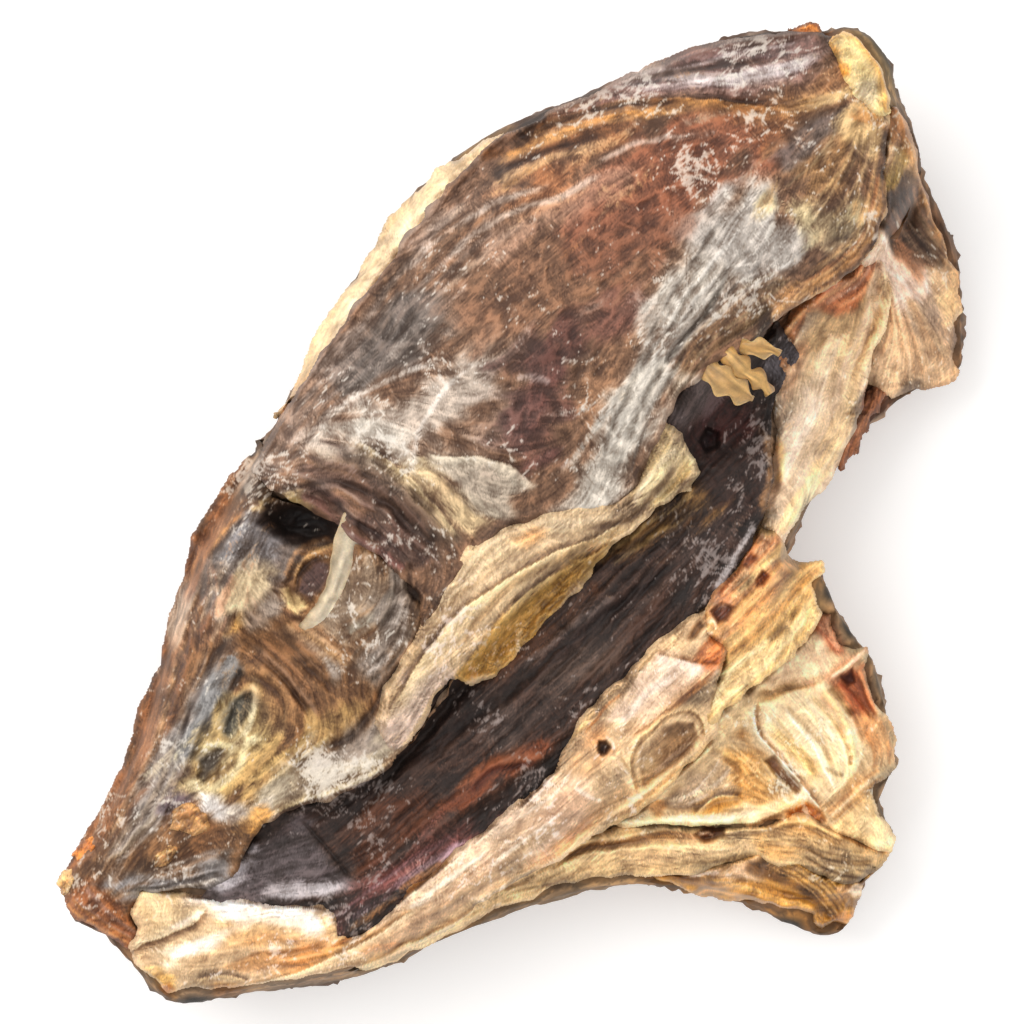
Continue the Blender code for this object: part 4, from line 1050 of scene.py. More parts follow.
patch([(-12.6, -51.4), (-8, -52), (-3.6, -55.6), (-5, -58), (-9, -56), (-12, -53.4)], "cf9a52", 1.2, 0.95,
      -1.0, shine=0.4)
lap([(-13.4, -51), (-8.6, -51.2), (-4, -54.6), (-3.4, -57.6)][::-1], 0.7, 1.2, "f5d7a6")
patch([(0, -44), (4, -43), (5, -50), (5, -62), (0, -60), (-3, -55), (-0.6, -50)], "c08d50", 1.8, 0.9, -0.6)
sheaf([(-1, -46), (-1, -54), (1, -61)], [(5, -44), (5, -54), (5.6, -63)], 7, 0.6, 0.6,
      ("eac897", "b08757", "cba470", "f9deb2"), 0.75)
patch([(3.4, -43), (8, -44), (9, -50), (8.4, -56), (5.4, -54), (4, -49)], "a8733c", 1.2, 0.85, -0.6)
patch([(5.8, -53.6), (8.6, -54), (8.4, -63), (6.6, -63.6), (5.8, -58)], "8c522a", 0.9, 1.0, -3.0, 0.3,
      shine=0.4)
cord([(5.2, -44), (5.6, -54), (6, -63)], 0.8, 0.6, "cea771", 0.8)
# The strut that runs down from the jaw to the throat's point.
cord([(-28, -41.4), (-21, -46.6), (-15, -51.6), (-9, -57), (-2, -61.4), (8, -66)], 2.6, 1.9, "fee2b6", 0.95,
     0.06)
lap([(-24, -45), (-18, -50.4), (-11, -56.6), (-4, -61.2), (6, -66.4)], 1.4, 2.4, "f8d9aa", under_shade="896039")
cord([(-20, -46), (-14, -51.4), (-8, -56.4), (-1, -60.6)], 0.5, 0.6, "fff1d4", 0.7)
patch([(-19.4, -43.4), (-17, -43.4), (-16.6, -45.4), (-18.8, -46)], "c08851", 0.9, 0.9, -0.6)
patch([(-6, -61), (2, -64), (6, -65.8), (2, -67.4), (-4, -64)], "d5a570", 1.2, 0.75)
# Cream sheet fanning out behind.
patch([(9.4, -45), (14, -43), (20, -45), (27.6, -48.4), (28, -56), (25, -65), (20, -69), (8, -69.4),
       (8.8, -58)], "fee4bb", 1.2, 1.0, 1.2, 0.5)
sheaf([(10.6, -45), (9.8, -57), (9, -69)], [(27, -49), (26, -58), (19, -69)], 15, 0.9, 0.8,
      ("fff0d2", "e2c18e", "fde2b7", "eccc97", "fffde8", "cda974"), 0.7, shine=0.15)
patch([(11, -50), (14, -50), (14, -62), (11.4, -63)], "dab677", 1.4, 0.65, -0.3)
crease([(17.6, -46), (18, -56), (16.4, -66)], 0.9, 0.7, "d4b285", 0.6)
crease([(23.6, -48), (23.4, -57), (21, -65)], 0.9, 0.6, "ccaa7b", 0.6)
lap([(8.2, -70), (9.2, -58), (9.8, -47), (14, -42.6)], 1.6, 1.4, "fff6dd", under_shade="71401b", fade=0.05)
patch([(10, -40.6), (20, -44.8), (27, -47), (24, -44), (16, -40.4)], "c59f6e", 1.4, 0.85, -0.5)
crease([(14, -41), (20, -44.4), (27.4, -48)], 0.9, 0.6, "9d774a", 0.6)
patch([(14, -40), (28, -39.6), (36, -38), (35, -42), (30, -47.4), (26, -46)], "f5d5b2", 1.8, 0.9, 0.4)
sheaf([(16, -40), (26, -42), (34, -40)], [(20, -43.5), (26, -46), (32, -46)], 5, 0.4, 0.8,
      ("ffe6ca", "d9b48d", "e3b791"), 0.6)
patch([(27, -50.6), (28.6, -51), (28, -58.4), (26.8, -58)], "966e3d", 0.8, 0.9, -1.2, 0.3)
cord([(15, -63), (16.4, -66), (17.4, -67)], -0.7, 0.6, "8e7456", 0.6)
cord([(19.6, -66.4), (21, -64.6)], -0.7, 0.5, "7a5a3c", 0.7)
# Torn flesh and crumbling skin along the back edge.
patch([(28, -49.6), (33, -50.4), (38.4, -51.6), (35.6, -56), (33.8, -61), (31, -62), (27.6, -62), (28, -56)],
      "9a5a38", 1.4, 1.0, 0.4)
sheaf([(29, -50.4), (30, -56), (29, -63)], [(37, -51.6), (34, -57), (32, -63)], 7, 1.1, 0.8,
      ("ab6741", "662b15", "c6855b", "96573a", "dca479"), 0.8)
patch([(31, -50), (34.6, -50.6), (33, -53.6), (31, -53)], "582511", 1.0, 0.9, -1.4)
patch([(27.6, -60), (33, -62), (33, -67), (29, -70), (24, -69), (25, -65)], "ca9766", 1.6, 0.9, 0.2,
      shine=0.35)
sheaf([(27, -62), (25, -67), (22, -71)], [(33, -63), (31.6, -68), (27, -73)], 6, 0.8, 0.8,
      ("e4b786", "a56e43", "f5cd9e", "bf8a5c"), 0.75, shine=0.3)
patch([(33.4, -37.6), (37.4, -37), (40.4, -38.4), (37.6, -42.4), (36, -46), (34, -44.6), (35, -41)],
      "9c5d3f", 1.2, 0.9, 0.3)
sheaf([(35, -38.4), (35.4, -42), (35, -46)], [(39.6, -38.4), (37.4, -42), (36.4, -46)], 4, 0.9, 0.6,
      ("cc916c", "74371f", "e7b38f"), 0.8)
patch([(28, -48), (36, -48.6), (42, -49), (40.6, -51.4), (36, -50.2), (28, -49.6)], "d49e79", 1.0, 0.95, 0.9)
cord([(28.4, -48.8), (34, -49.4), (41, -49.8)], 0.9, 0.6, "fbd7bb", 0.8)
patch([(6, -68.6), (14, -69.4), (24, -69.6), (26, -72), (22, -74.6), (14, -73.6), (8, -73)], "e8be8a", 1.4,
      0.95, 0.5)
sheaf([(7, -69.6), (16, -70.4), (25, -70)], [(8, -73), (16, -74), (25, -73.6)], 6, 0.9, 0.8,
      ("fff7e2", "cd9e6a", "f9d5a6", "b58252"), 0.75)
patch([(2, -65.4), (6.6, -66.6), (8, -69), (7.4, -72), (3.6, -71.4), (2, -68.6)], "b96522", 1.2, 0.95, -1.6,
      0.4, shine=0.6)
patch([(3, -68.8), (5.6, -69.4), (5, -71.2), (3, -70.8)], "783616", 0.9, 0.9, -1.0, 0.3)
patch([(8, -74), (14, -74.4), (20.6, -74.6), (18, -80), (17.4, -85), (15, -87.2), (12, -84), (9, -78)],
      "eac58d", 1.4, 1.0, 1.6, 0.4, shine=0.3)
patch([(11, -78), (15, -76), (17, -80), (16.6, -86), (13, -84.6)], "fce1b2", 2, 0.85, 0.8)
patch([(14, -73.4), (20, -72.8), (21, -75.6), (16, -75.8)], "daae76", 1.2, 0.7)
weather(throat_edge, 0.07, 0.14, 0.22, "fffff4", relief_shade=0.55, contrast=0.08)
throat = lay("throat", throat_edge, lift=0.4, rim=2.5)
fasten(throat, bone_finish)

# ------------------------------------------------------------------ jaw muscle
# The muscle that shuts the jaw, dried to yellow and orange strands of fat and flesh. It is ragged
# where it was torn off, and its front end sits on the near jawbone.
# Fat and muscle dried into strands. It is oily, so it is the glossiest of the soft parts, and light
# goes into it, which turns its hollows orange.
muscle_finish = dried("dried fat and muscle", pore=0.65, depth=0.16, dull=0.58, shiny=0.22, glow=0.18)
muscle_edge = [
    (3, -33.6), (8, -31.6), (14, -31), (16, -27), (15, -23), (18, -19), (22, -17.2), (30, -15.6),
    (36, -14), (41, -12.4), (43, -16), (42, -20), (41.6, -23), (43.6, -25.4), (46.4, -28),
    (44.6, -30.6), (41, -30.4), (39, -34), (38.6, -37), (35, -38.6), (26, -39.6), (16, -39.2),
    (8, -38.4), (3, -38.4),
]
patch(muscle_edge, "dcb881", 2.5, ragged=0, shine=0.3)
# A paler band along the muscle's lower edge: the fat's own colour, lightened further as a painted highlight.
patch([(4, -34), (20, -32.6), (36, -33), (38, -37), (28, -39.4), (14, -39), (5, -38)], "eece99", 1.8, 0.9,
      0.5, shine=0.4)
sheaf([(4, -34), (18, -32.4), (38, -31)], [(5, -38), (18, -39), (37, -37.4)], 9, 0.9, 0.9,
      ("fadfaa", "c29b63", "f0d29b", "d2ad75", "fff0c8"), 0.7, shine=0.4)
crease([(23, -33.6), (30, -33.2), (36.4, -32.8)], 1.0, 0.7, "9d794c", 0.8)
cord([(5, -37.6), (8, -34.6), (16, -33.4), (26, -33)], 1.0, 1.2, "ffeabc", 0.8, shine=0.4)
patch([(16, -28), (30, -28.4), (42, -26), (46, -28.4), (44, -30.6), (30, -32), (14, -31.6)], "d2a366", 1.6,
      0.9, 0.6, shine=0.4)
sheaf([(14, -31), (28, -31.4), (45, -29.4)], [(16, -28), (30, -27), (44, -26.4)], 7, 0.9, 0.8,
      ("e6c189", "af7f4b", "f9d8a3", "c5965e"), 0.75, shine=0.4)
patch([(17, -19.4), (28, -20.4), (40, -21), (42, -25), (30, -27), (18, -26.6), (15, -23.6)], "d19e6a", 2,
      0.9, 0.2, shine=0.3)
patch([(24, -22), (32, -23), (31, -26.6), (25, -26)], "e3b375", 1.6, 0.75)
sheaf([(16, -22), (26, -21), (41, -20.4)], [(17, -26.6), (28, -26.6), (42, -25)], 8, 0.9, 0.8,
      ("f3cc9c", "aa754b", "d7aa79", "ffe0b5", "99613e"), 0.7)
patch([(19.4, -20), (22.6, -20), (23.4, -22.4), (21, -23.8), (19, -22.6)], "694031", 1.0, 0.95, -2.0, 0.4)
patch([(21, -17.6), (25, -17.4), (24, -21), (22, -20)], "9d8476", 1.0, 0.7)
patch([(32, -21.2), (34.4, -20.8), (34.6, -22.8), (32.2, -23.4), (31, -22.6)], "6e3219", 0.8, 0.95, -1.8, 0.4)
cord([(16.4, -20.6), (15.6, -23), (17, -24)], 0.9, 0.5, "ffebd4", 0.85)
cord([(16.4, -20.8), (18.4, -22), (17.6, -24)], 0.8, 0.5, "ffe6c8", 0.8)
patch([(22, -17.6), (32, -16), (41, -13), (41.6, -18), (34, -19.4), (24, -20)], "b37b54", 1.6, 0.85, 0.3)
sheaf([(22, -17.8), (32, -16), (41, -13.4)], [(24, -20.4), (34, -19.4), (42, -18)], 6, 1.0, 0.7,
      ("daa97d", "7c4123", "c48a5f", "f9d1a8", "9a5f41"), 0.8)
patch([(32, -16.4), (35.4, -15.8), (35, -17.6), (32.4, -18)], "5b270d", 0.8, 0.85, -1.0)
patch([(37.4, -15), (40, -14.4), (39.4, -16.4)], "55240d", 0.8, 0.85, -0.8)
lap([(42, -21), (42.6, -24.6), (46.6, -28.2), (44.4, -30.8), (40.6, -30.6)][::-1], 0.8, 1.4, "f4d19d")
weather(muscle_edge, 0.13, 0.18, 0.25, "ffffec", relief_shade=0.6, contrast=0.1)
jaw_muscle = lay("jaw_muscle", muscle_edge, lift=1.0, rim=2.6)
fasten(jaw_muscle, muscle_finish)

# ------------------------------------------------------------------ gill opening
# Pale membranes stretched from the throat to the rear edge of the gill cover, with a cord of
# gristle along them, and the inner side of the right gill cover showing behind.
far_cover_edge = [
    (78, -4), (80, -8), (80.6, -12.4), (85, -14.8), (90, -17.4), (94.6, -19), (97, -18), (98.6, -15),
    (102, -12), (103.6, -9), (107, -9), (108.6, -5), (112, -1.4), (112.6, 3), (114.6, 7), (116.4, 13),
    (119, 18), (119.4, 22), (122.4, 26), (123.4, 31), (124.6, 36.6), (122, 37), (117, 33), (110, 26),
    (104, 20), (98, 16.6), (94, 14), (92, 8), (86, 2),
]
patch(far_cover_edge, "dbb690", 2.5, ragged=0)
sheaf([(97, 8), (90, -4), (83, -13)], [(101, 10), (99, -6), (98, -16)], 10, 0.9, 0.9,
      ("f2d0aa", "b38862", "e0ba91", "ffe2c4", "c0926b"), 0.7)
patch([(97, 0), (103, 2), (103.6, -6), (101, -12), (98, -8), (96, -4)], "97806f", 1.8, 0.75)
patch([(92, -8), (97, -3), (98.6, -10), (96, -17), (92, -14)], "c7a37f", 2, 0.7)
lap([(98.6, -14.6), (96.8, -17.6), (94.4, -18.8), (90, -17.2), (84, -14.6)], 0.6, 1.4, "ca9b64",
    under_shade="bd8f65")
patch([(95, 15), (104, 17), (108, 14), (106, 4), (101, -1), (96, 4)], "f8dfcd", 2.2, 0.95, 0.4)
sheaf([(97, 12), (99, 5), (100, -2)], [(106, 15), (105, 7), (103, -1)], 8, 0.5, 0.8,
      ("fff6ea", "dcbca4", "eed0b8", "ba9884"), 0.65)
cord([(99, 11), (95, 5), (90, -1), (84, -4)], 0.9, 0.9, "d09e75", 0.75)
patch([(104, 20), (112, 25), (119, 24), (118.6, 18), (115.6, 11), (113, 4), (109, 1), (105.6, 6),
       (104.6, 13)], "412f22", 1.8, 1.0, -0.5)
sheaf([(106, 19), (106.4, 10), (107.6, 2)], [(118, 22), (115, 12), (111, 2)], 9, 0.9, 0.8,
      ("93715a", "392113", "ac8b72", "674530", "c9aa97", "492c1b"), 0.7)
patch([(103.4, 10), (106.6, 12), (107, 5), (104, 4)], "b6805d", 1.4, 0.6)
patch([(110, 24), (114, 27), (119, 30), (121.4, 28), (119, 25), (113, 23)], "9d824d", 1.4, 0.9, -1.0,
      shine=0.3)
patch([(117, 31), (122, 36.6), (124.4, 36), (122.6, 29), (120.4, 26)], "744a29", 1.2, 0.85)
patch([(104, -3), (109, -1), (112.6, 3), (111.6, -2), (108, -6), (107, -9), (103.6, -8.6)], "ebc697", 1.4,
      0.9, 0.3)
lap([(124.4, 36), (123.2, 30), (119.4, 22), (116, 12), (113, 4), (112.4, 0), (108.4, -5.4), (107, -9)][::-1],
    0.8, 1.5, "bf8d5a", under_shade="764a26", fade=0.04)
lap([(103.6, -9), (101.6, -12.4), (98, -16)], 0.6, 1.2, "c19565")
weather(far_cover_edge, 0.1, 0.2, 0.22, "fffef2", relief_shade=0.55, contrast=0.1)
far_cover = lay("far_gill_cover", far_cover_edge, lift=0.2, rim=2.5)
fasten(far_cover, membrane_finish)

web_edge = [
    (40, -13), (46, -10.6), (50, -7.6), (55, -3), (58, 0.6), (60, 6), (66, 10), (72, 14), (78, 17),
    (84, 16), (92, 15), (98, 14.6), (101, 13.4), (99, 9), (96, 5), (91, 1.6), (84, -2), (78, -6.6),
    (71, -11.2), (63, -14), (57, -15.8), (50, -17.6), (42, -19.6), (41, -16),
]
patch(web_edge, "edd0b0", 2.5, ragged=0)
patch([(62, 3), (72, 8), (80, 13), (90, 9), (84, 4), (74, 1), (64, -1)], "d5b68e", 2.4, 0.85)
patch([(72, 10), (80, 14), (88, 9.4), (92, 8), (84, 6), (76, 7)], "b7976f", 2, 0.8, -0.6)
patch([(52, -6), (60, 1), (68, 4), (70, -3), (60, -8), (52, -10)], "f7dfc8", 2.4, 0.85, 0.3)
patch([(58, -7), (66, -4), (70, -8), (62, -10)], "dfc09a", 2, 0.6)
sheaf([(50, -9), (64, 0), (82, 9)], [(48, -13), (64, -9), (88, 3)], 10, 0.5, 0.9,
      ("ffebd6", "ccab85", "f3d6b4", "dbb990"), 0.55)
crease([(74, -4), (80, -1.4), (87, 2.6), (94, 6)], 0.9, 0.9, "af865b", 0.75)
cord([(42, -17.6), (52, -14.6), (62, -11.6), (70, -7.8), (78, -3.2), (86, 0.2), (93, 4), (98.6, 10.6)], 2.6,
     1.9, "f5d3a3", 0.92, 0.05, 0.15)
cord([(60, -9), (70, -5), (78, -1), (84, 3), (90, 5)], 1.0, 1.0, "f1cf9f", 0.7)
sheaf([(44, -15.4), (60, -11), (76, -3.6)], [(44, -18.4), (60, -13.6), (74, -8)], 5, 0.5, 0.6,
      ("ffefc8", "d2ab78", "edca98", "ba8f60"), 0.75)
patch([(70, -7.4), (79, -5.8), (80, -8), (74, -10.4)], "733e21", 1.2, 0.9, -1.6)
patch([(44, -11.6), (50, -8), (56, -2), (52, -8), (46, -13)], "9e7558", 1.2, 0.6, -0.6)
cord([(57.4, -1.4), (54, -6), (50, -8.4)], 1.3, 1.2, "d8aa75", 0.9, shine=0.4)
patch([(79, 15), (86, 15.4), (93, 14.4), (99, 14), (99.6, 10.8), (93, 10.2), (88, 8.8), (83.6, 10),
       (81, 13)], "955c3d", 1.0, 1.0, 0.9, 0.5)
sheaf([(81, 14.4), (88, 13.6), (98, 13.4)], [(84, 10.6), (89, 9.8), (98, 11.2)], 5, 0.7, 0.6,
      ("bc8458", "65311c", "daaa7c", "a28b7e"), 0.8)
patch([(64, 9), (74, 12), (80, 15.4), (76, 17.6), (66, 16)], "9e6b45", 1.6, 0.9, 0.3)
sheaf([(66, 17), (74, 16.6), (82, 16.4)], [(66, 11), (73, 11.8), (79, 14)], 6, 0.8, 0.7,
      ("cb9d6f", "713e1f", "e9c092", "9c6442"), 0.8)
patch([(60, 1.6), (66, 4.4), (72, 7.4), (75, 10), (70, 12), (64, 8)], "ad8162", 1.6, 0.6)
weather(web_edge, 0.07, 0.14, 0.2, "fffff6", relief_shade=0.55, contrast=0.08)
gill_web = lay("gill_membrane", web_edge, lift=0.8, rim=2.2)
fasten(gill_web, membrane_finish)

# A brown rag of torn skin hangs under the membrane.
rag_edge = [(70, -7.6), (76, -6.4), (80.6, -7.4), (81, -10.6), (78.4, -11.6), (77, -13.4), (75, -12.6),
            (72.6, -15.2), (70.6, -14.2), (67, -16.4), (64.6, -14.8), (61.4, -15.4), (63, -12)]
patch(rag_edge, "8a5a3e", 2.5, ragged=0)
sheaf([(63, -14), (72, -10), (80, -8)], [(66, -16), (73, -13), (80, -11)], 7, 0.9, 0.6,
      ("b97f56", "5a3020", "a06a48", "d0a07a"), 0.8)
weather(rag_edge, 0.16, 0.4, 0.2)
rag = lay("torn_rag", rag_edge, lift=-1.5, rim=1.5)
fasten(rag, skin_finish)

# ------------------------------------------------------------------ strands, lobes and shreds
# Loose bits that stand clear of the skin: the pale strut of gristle across the eye socket, the horny
# lobe on the gill cover, torn shreds beside it, and the crumbs of gum and skin along the snout.

# Horn and sinew dried hard and nearly clear: smooth, with small sharp lights and a yellow glow.
horn_finish = dried("translucent horn and sinew", pore=0.6, depth=0.1, dull=0.5, shiny=0.25, glow=0.25)


def ribbon(name, keys, code, edge_code, thick=0.7, arch=0.5, crinkle=0.25, turn=0.0):
    """A strip along (x, y, height, width) keys, arched across and crinkled at its edges."""
    path = spline(keys, 0.7)
    steps, lanes = len(path), 9
    bm = bmesh.new()
    bmesh.ops.create_grid(bm, x_segments=steps - 1, y_segments=lanes - 1, size=0.5)
    spots = np.array([v.co for v in bm.verts])
    k, lane = (np.rint((spots[:, a] + 0.5) * n).astype(int) for a, n in ((0, steps - 1), (1, lanes - 1)))
    ahead = np.gradient(path[:, :2], axis=0)
    ahead /= np.linalg.norm(ahead, axis=1)[:, None]
    off = (lane / (lanes - 1) - 0.5) * (path[k, 3]
                                        + crinkle * np.sin(k * 1.1 + lane) * (np.abs(lane - 4) > 2))
    rough = np.array([noise.noise(Vector((a * 0.35, b * 0.9, steps))) for a, b in zip(k, lane)])
    for v, kk, o, lift in zip(bm.verts, k, off, rough):
        x = path[kk, 0] - ahead[kk, 1] * o * math.cos(turn)
        y = path[kk, 1] + ahead[kk, 0] * o * math.cos(turn)
        z = path[kk, 2] - arch * (2 * o / max(path[kk, 3], 0.1)) ** 2 + 0.5 * lift + o * math.sin(turn)
        v.co = Vector((x, y, z)) * MM
    bmesh.ops.recalc_face_normals(bm, faces=bm.faces)
    mesh = bpy.data.meshes.new(name)
    bm.to_mesh(mesh)
    bm.free()
    share = (np.abs(lane - (lanes - 1) / 2) / (lanes / 2)) ** 2
    tone = 1 + 0.12 * np.sin(lane * 2.1 + 0.15 * k) + 0.25 * rough
    mix = shade_of(code) * (1 - share[:, None]) + shade_of(edge_code) * share[:, None]
    colours = np.ones((len(k), 4), np.float32)
    colours[:, :3] = to_linear(np.clip(mix * tone[:, None], 0.02, 1))
    mesh.attributes.new("dried_colour", "FLOAT_COLOR", "POINT").data.foreach_set("color", colours.ravel())
    mesh.attributes.new("resin", "FLOAT", "POINT").data.foreach_set("value", np.full(len(k), 0.3, np.float32))
    mesh.shade_smooth()
    piece = bpy.data.objects.new(name, mesh)
    bpy.context.scene.collection.objects.link(piece)
    wall = piece.modifiers.new("thickness", "SOLIDIFY")
    wall.thickness, wall.offset = thick * MM, 0
    smooth = piece.modifiers.new("softened", "SUBSURF")
    smooth.levels = smooth.render_levels = 1
    fasten(piece, horn_finish)


ribbon("socket_strut", [(-24, 45.5, 77.5, 10), (-28, 44.4, 75.4, 8.4), (-32.5, 42, 72.6, 6.6),
                        (-37, 39.4, 69.6, 5.2), (-41.5, 37, 68, 6), (-45.6, 35, 67.2, 8.6),
                        (-48.4, 34, 66, 9.4)], "cdbfa6", "a38a66", 0.9, 1.0)
ribbon("socket_corner", [(-27.4, 44, 73, 2), (-26.6, 40, 72, 3), (-25.6, 36.6, 71, 1.4)], "cf9838", "9a6a2c",
       0.8, 0.4)

horn_edge = [(117.4, 43.6), (118, 47), (120.4, 51), (121.6, 55.6), (123.8, 56.8), (126, 55), (127.8, 51),
             (128, 47), (127, 43.6), (124.4, 40), (122, 37), (120, 36.4), (119, 39)]
patch(horn_edge, "e8d19a", 2.5, ragged=0)
patch([(118.4, 49), (121.4, 56), (124, 56.6), (121.8, 51), (119.8, 46)], "cf8a3c", 1.4, 0.85)
patch([(118.4, 40), (123.4, 41), (125.4, 44), (121.4, 45), (118, 44)], "c9bda8", 1.6, 0.7)
lap([(122, 56.4), (126, 55), (127.6, 51), (127.8, 47), (126.4, 43), (123.8, 39.4), (121, 36.6)][::-1], 0.8,
    1.4, "e2a95c", under_shade="b98c58", fade=0.03)
weather(horn_edge, 0.04, 0.15, 0.0, relief_shade=0.3, contrast=0.06)
horn_lobe = lay("horn_lobe", horn_edge, lift=4.5, rim=2.5)
fasten(horn_lobe, horn_finish)

knob_edge = [(117, 64.4), (120, 64), (123.4, 62.8), (124.4, 60), (123.4, 57), (121.4, 56), (119.6, 58),
             (118, 61)]
patch(knob_edge, "9a5a2c", 2.5, ragged=0)
sheaf([(118, 64), (122, 62.6), (123.6, 58)], [(119, 61), (121, 60), (121.6, 57)], 4, 0.9, 0.6,
      ("d28c44", "6b3a20", "e3b27c"))
weather(knob_edge, 0.15, 0.3, 0.2)
crown_knob = lay("crown_knob", knob_edge, lift=1.6, rim=2.6)
fasten(crown_knob, skin_finish)

# Torn yellow shreds hanging between the gill cover and the dark skin of the mouth's corner.
ribbon("shred_front", [(55, 21.4, 73.5, 3), (55, 18, 73.5, 6.4), (55.8, 14, 72.8, 5.6), (56.6, 11, 71, 4.4),
                       (57.4, 8.6, 69, 1.4)], "b08a55", "d6b27c", 0.6, 0.9, 1.8)
ribbon("shred_middle", [(60, 20.6, 73.2, 3), (60.2, 16.6, 73.4, 4.6), (60.4, 13.6, 72.4, 3.4),
                        (61.4, 10.6, 71, 4), (61, 7, 69.4, 1.2)], "c29a5e", "8f6a3c", 0.6, 0.8, 1.6)
ribbon("shred_rear", [(63.4, 19.6, 73, 2), (65, 17, 73.4, 4.4), (67.4, 14.6, 72.4, 3.6),
                      (68.4, 12, 71, 1.2)], "b68c52", "d9b883", 0.6, 0.7, 1.6, 0.4)

# Knobs and crumbs of gum along the snout's blunt end.
for name, outline, code, second, lift in (
    ("snout_knob", [(-129.4, 31), (-128, 33.6), (-124, 34.6), (-121.4, 33), (-123, 30), (-126.4, 28.6),
                    (-129, 29)], "e3bd86", "c08a50", 2.2),
    ("snout_crumb", [(-121.6, 35.4), (-117, 36.4), (-112.6, 34.4), (-114, 31.4), (-118, 30.6), (-121, 32.4)],
     "bd7a3e", "8a4f2a", 1.0),
    ("gum_front", [(-109.6, 20.6), (-106, 22.6), (-102, 22.4), (-100.6, 20), (-103, 18.4), (-107, 18.6)],
     "c49a68", "8a5f3c", 1.4),
    ("gum_rear", [(-100.4, 24), (-97, 26), (-93, 25), (-91.6, 21.6), (-93.6, 19.4), (-97.6, 20.4)], "bd9060",
     "7c5638", 1.5),
):
    patch(outline, code, 1.5, ragged=0)
    points = np.array(outline)
    middle = points.mean(0)
    sheaf([tuple(points[0]), tuple(middle), tuple(points[3])],
          [tuple(points[1]), tuple(middle + 1), tuple(points[4])], 4, 0.7, 0.6,
          (code, second, "e9cf97", second), 0.8, shine=0.3)
    weather(outline, 0.12, 0.4, 0.15)
    fasten(lay(name, outline, lift=lift, rim=2.4), horn_finish)

# ------------------------------------------------------------------ right cheek and underside
# What lies under the shown side, down to the right cheek that the head rests on: one closed mass,
# a copy of the solid whose skin is shrunk into folds like those on top. Leathery skin and gristle.
# Its grain, and how far it stays under the skins that lie on it, in millimetres.
CORE_GRAIN = 1.25
CORE_GAP = 1.2
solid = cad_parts["stockfish_head"].data
bm = bmesh.new()
bm.from_mesh(solid)
bmesh.ops.remove_doubles(bm, verts=bm.verts, dist=1e-5)
under_mesh = bpy.data.meshes.new("underside")
bm.to_mesh(under_mesh)
bm.free()
underside = bpy.data.objects.new("underside", under_mesh)
bpy.context.scene.collection.objects.link(underside)
evened = underside.modifiers.new("even skin", "REMESH")
evened.mode = "VOXEL"
evened.voxel_size = CORE_GRAIN * MM
graph = bpy.context.evaluated_depsgraph_get()
underside.data = bpy.data.meshes.new_from_object(underside.evaluated_get(graph))
underside.modifiers.clear()
skin = underside.data
spots, facing = (np.empty(len(skin.vertices) * 3, np.float32) for _ in range(2))
skin.vertices.foreach_get("co", spots)
skin.vertices.foreach_get("normal", facing)
spots, facing = spots.reshape(-1, 3) / MM, facing.reshape(-1, 3)

low = crust.copy()
for shift in ((0, 3), (0, -3), (3, 0), (-3, 0), (2, 2), (-2, 2), (2, -2), (-2, -2)):
    low = np.fmin(low, np.roll(crust, shift, (0, 1)))


def read(field, x, y):
    """The field's value at points given in millimetres, between its grid points."""
    c = np.clip((x - across[0]) / STEP, 0, COLS - 1.001)
    r = np.clip((y - along[0]) / STEP, 0, ROWS - 1.001)
    c0, r0 = c.astype(int), r.astype(int)
    cf, rf = c - c0, r - r0
    if field.ndim == 3:
        cf, rf = cf[..., None], rf[..., None]
    top = field[r0, c0] * (1 - cf) + field[r0, c0 + 1] * cf
    low = field[r0 + 1, c0] * (1 - cf) + field[r0 + 1, c0 + 1] * cf
    return top * (1 - rf) + low * rf


top = read(base, spots[:, 0], spots[:, 1])
roof = read(np.where(np.isnan(low), 200, low), spots[:, 0], spots[:, 1]) - CORE_GAP
hidden = (facing[:, 2] > -0.1) & (spots[:, 2] > top - 7)
pleats = folds(spots, (16, 5, 3.5), 3.0)
creped = folds(spots, (5, 1.6, 1.4), 9.0)
mirrored = read(blur(relief, 0.6), spots[:, 0], spots[:, 1])
flat = np.abs(facing[:, 2])
swell = 1.6 * pleats + 0.7 * creped + 0.6 * flat * np.clip(mirrored, -2.5, 2.5)
swell *= np.where(hidden, 0.3, 1) * soft_step((spots[:, 2] - 1) / 5)
spots += facing * swell[:, None]
spots[:, 2] = np.where(hidden, np.minimum(spots[:, 2], roof), spots[:, 2])
spots[:, 2] = np.maximum(spots[:, 2], 0)
skin.vertices.foreach_set("co", (spots * MM).ravel())
drawn = (paint.sum(-1) > 0).astype(np.float32)
spread = blur(paint * drawn[..., None], 7) / (blur(drawn, 7)[..., None] + 1e-4)
near = blur(paint * drawn[..., None], 1.2) / (blur(drawn, 1.2)[..., None] + 1e-3)
tint = read(np.where(drawn[..., None] > 0, near, spread), spots[:, 0], spots[:, 1])
# Painted shade: the core is darkened to 0.6 where skins lie over it, so that the gaps between them look
# shaded.
tone = (1 + 0.16 * pleats + 0.22 * creped) * np.where(hidden & (roof < 120), 0.6, 0.95)
colours = np.ones((len(spots), 4), np.float32)
broad = blur(paint * drawn[..., None], 24) / (blur(drawn, 24)[..., None] + 1e-5)
side = 0.85 * soft_step((0.35 - facing[:, 2]) / 0.5)[:, None]
tint = tint * (1 - side) + read(broad, spots[:, 0], spots[:, 1]) * side
tint = tint * np.array([1.06, 0.97, 0.88])
salted = 0.45 * soft_step(2.2 * folds(spots, (7, 4, 3), 21.0) - 0.1)[:, None] * side
tint = tint * (1 - salted) + shade_of("d9cdbf") * salted
stained = 0.5 * soft_step(2.0 * folds(spots, (18, 9, 6), 33.0))[:, None] * side
tint = tint * (1 - stained) + shade_of("4d3427") * stained
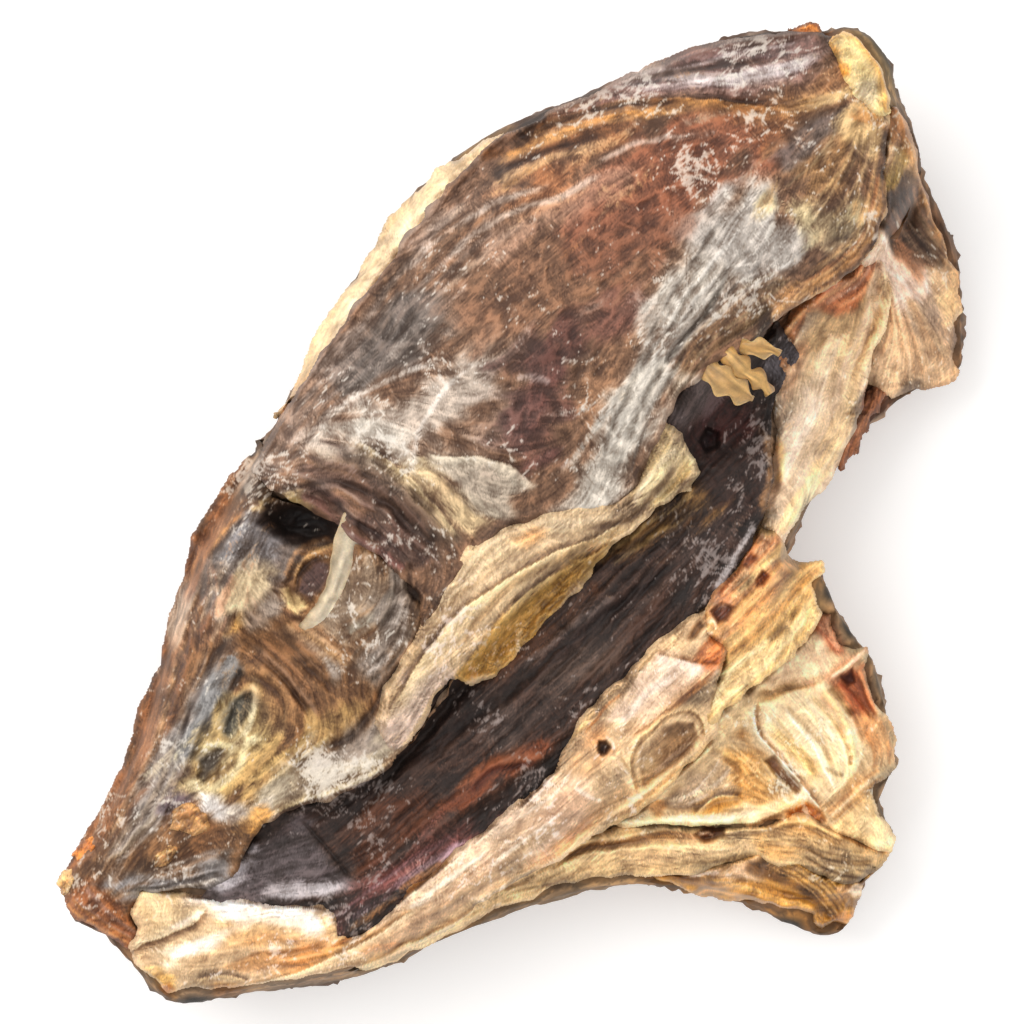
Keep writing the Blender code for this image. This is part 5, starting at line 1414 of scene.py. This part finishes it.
colours[:, :3] = to_linear(np.clip(tint * tone[:, None], 0.02, 1))
skin.attributes.new("dried_colour", "FLOAT_COLOR", "POINT").data.foreach_set("color", colours.ravel())
skin.attributes.new("resin", "FLOAT", "POINT")
skin.shade_smooth()
skin.update()
fasten(underside, skin_finish)

# ------------------------------------------------------------------ floor, light and camera
# A pale matt board under the head, lit by a large soft window, a softer light overhead and a pale
# room. The camera looks straight down on the left cheek from far off, so the sides hardly show.
# Painted board, dead matt. It shows only the soft shadow, and glows a little so as to stay near white.
board = bpy.data.materials.new("matt white board")
board.use_nodes = True
board_shader = board.node_tree.nodes["Principled BSDF"]
board_shader.inputs["Base Color"].default_value = (*to_linear(shade_of("f4f4f4")), 1)
board_shader.inputs["Roughness"].default_value = 0.9
board_shader.inputs["Specular IOR Level"].default_value = 0.1
board_shader.inputs["Emission Color"].default_value = (1, 1, 1, 1)
board_shader.inputs["Emission Strength"].default_value = 0.22
floor_mesh = bpy.data.meshes.new("floor")
bm = bmesh.new()
bmesh.ops.create_grid(bm, x_segments=1, y_segments=1, size=3)
bm.to_mesh(floor_mesh)
bm.free()
floor_mesh.materials.append(board)
floor = bpy.data.objects.new("floor", floor_mesh)
bpy.context.scene.collection.objects.link(floor)
floor.location.z = -0.0005

world = bpy.data.worlds.new("pale room")
world.use_nodes = True
world.node_tree.nodes["Background"].inputs["Color"].default_value = (1.0, 0.99, 0.975, 1)
world.node_tree.nodes["Background"].inputs["Strength"].default_value = 0.72
bpy.context.scene.world = world

for name, place, size, energy, tint in (
    ("window", (-0.25, 0.95, 1.5), 1.1, 15.0, (1.0, 0.985, 0.96)),
    ("overhead", (0.1, -0.1, 1.9), 1.6, 10.0, (1.0, 1.0, 1.0)),
):
    light = bpy.data.objects.new(name, bpy.data.lights.new(name, "AREA"))
    light.data.size, light.data.energy, light.data.color = size, energy, tint
    light.location = place
    light.rotation_euler = (Vector((0, 0.02, 0.04)) - light.location).to_track_quat("-Z", "Y").to_euler()
    bpy.context.scene.collection.objects.link(light)

camera = bpy.data.objects.new("camera", bpy.data.cameras.new("camera"))
camera.data.lens, camera.data.sensor_width = 500, 36
camera.location = (0.0018, 0.0257, 3.181)
camera.rotation_euler = (0, 0, math.radians(-42))
bpy.context.scene.collection.objects.link(camera)
bpy.context.scene.camera = camera
bpy.context.scene.view_settings.view_transform = "Standard"
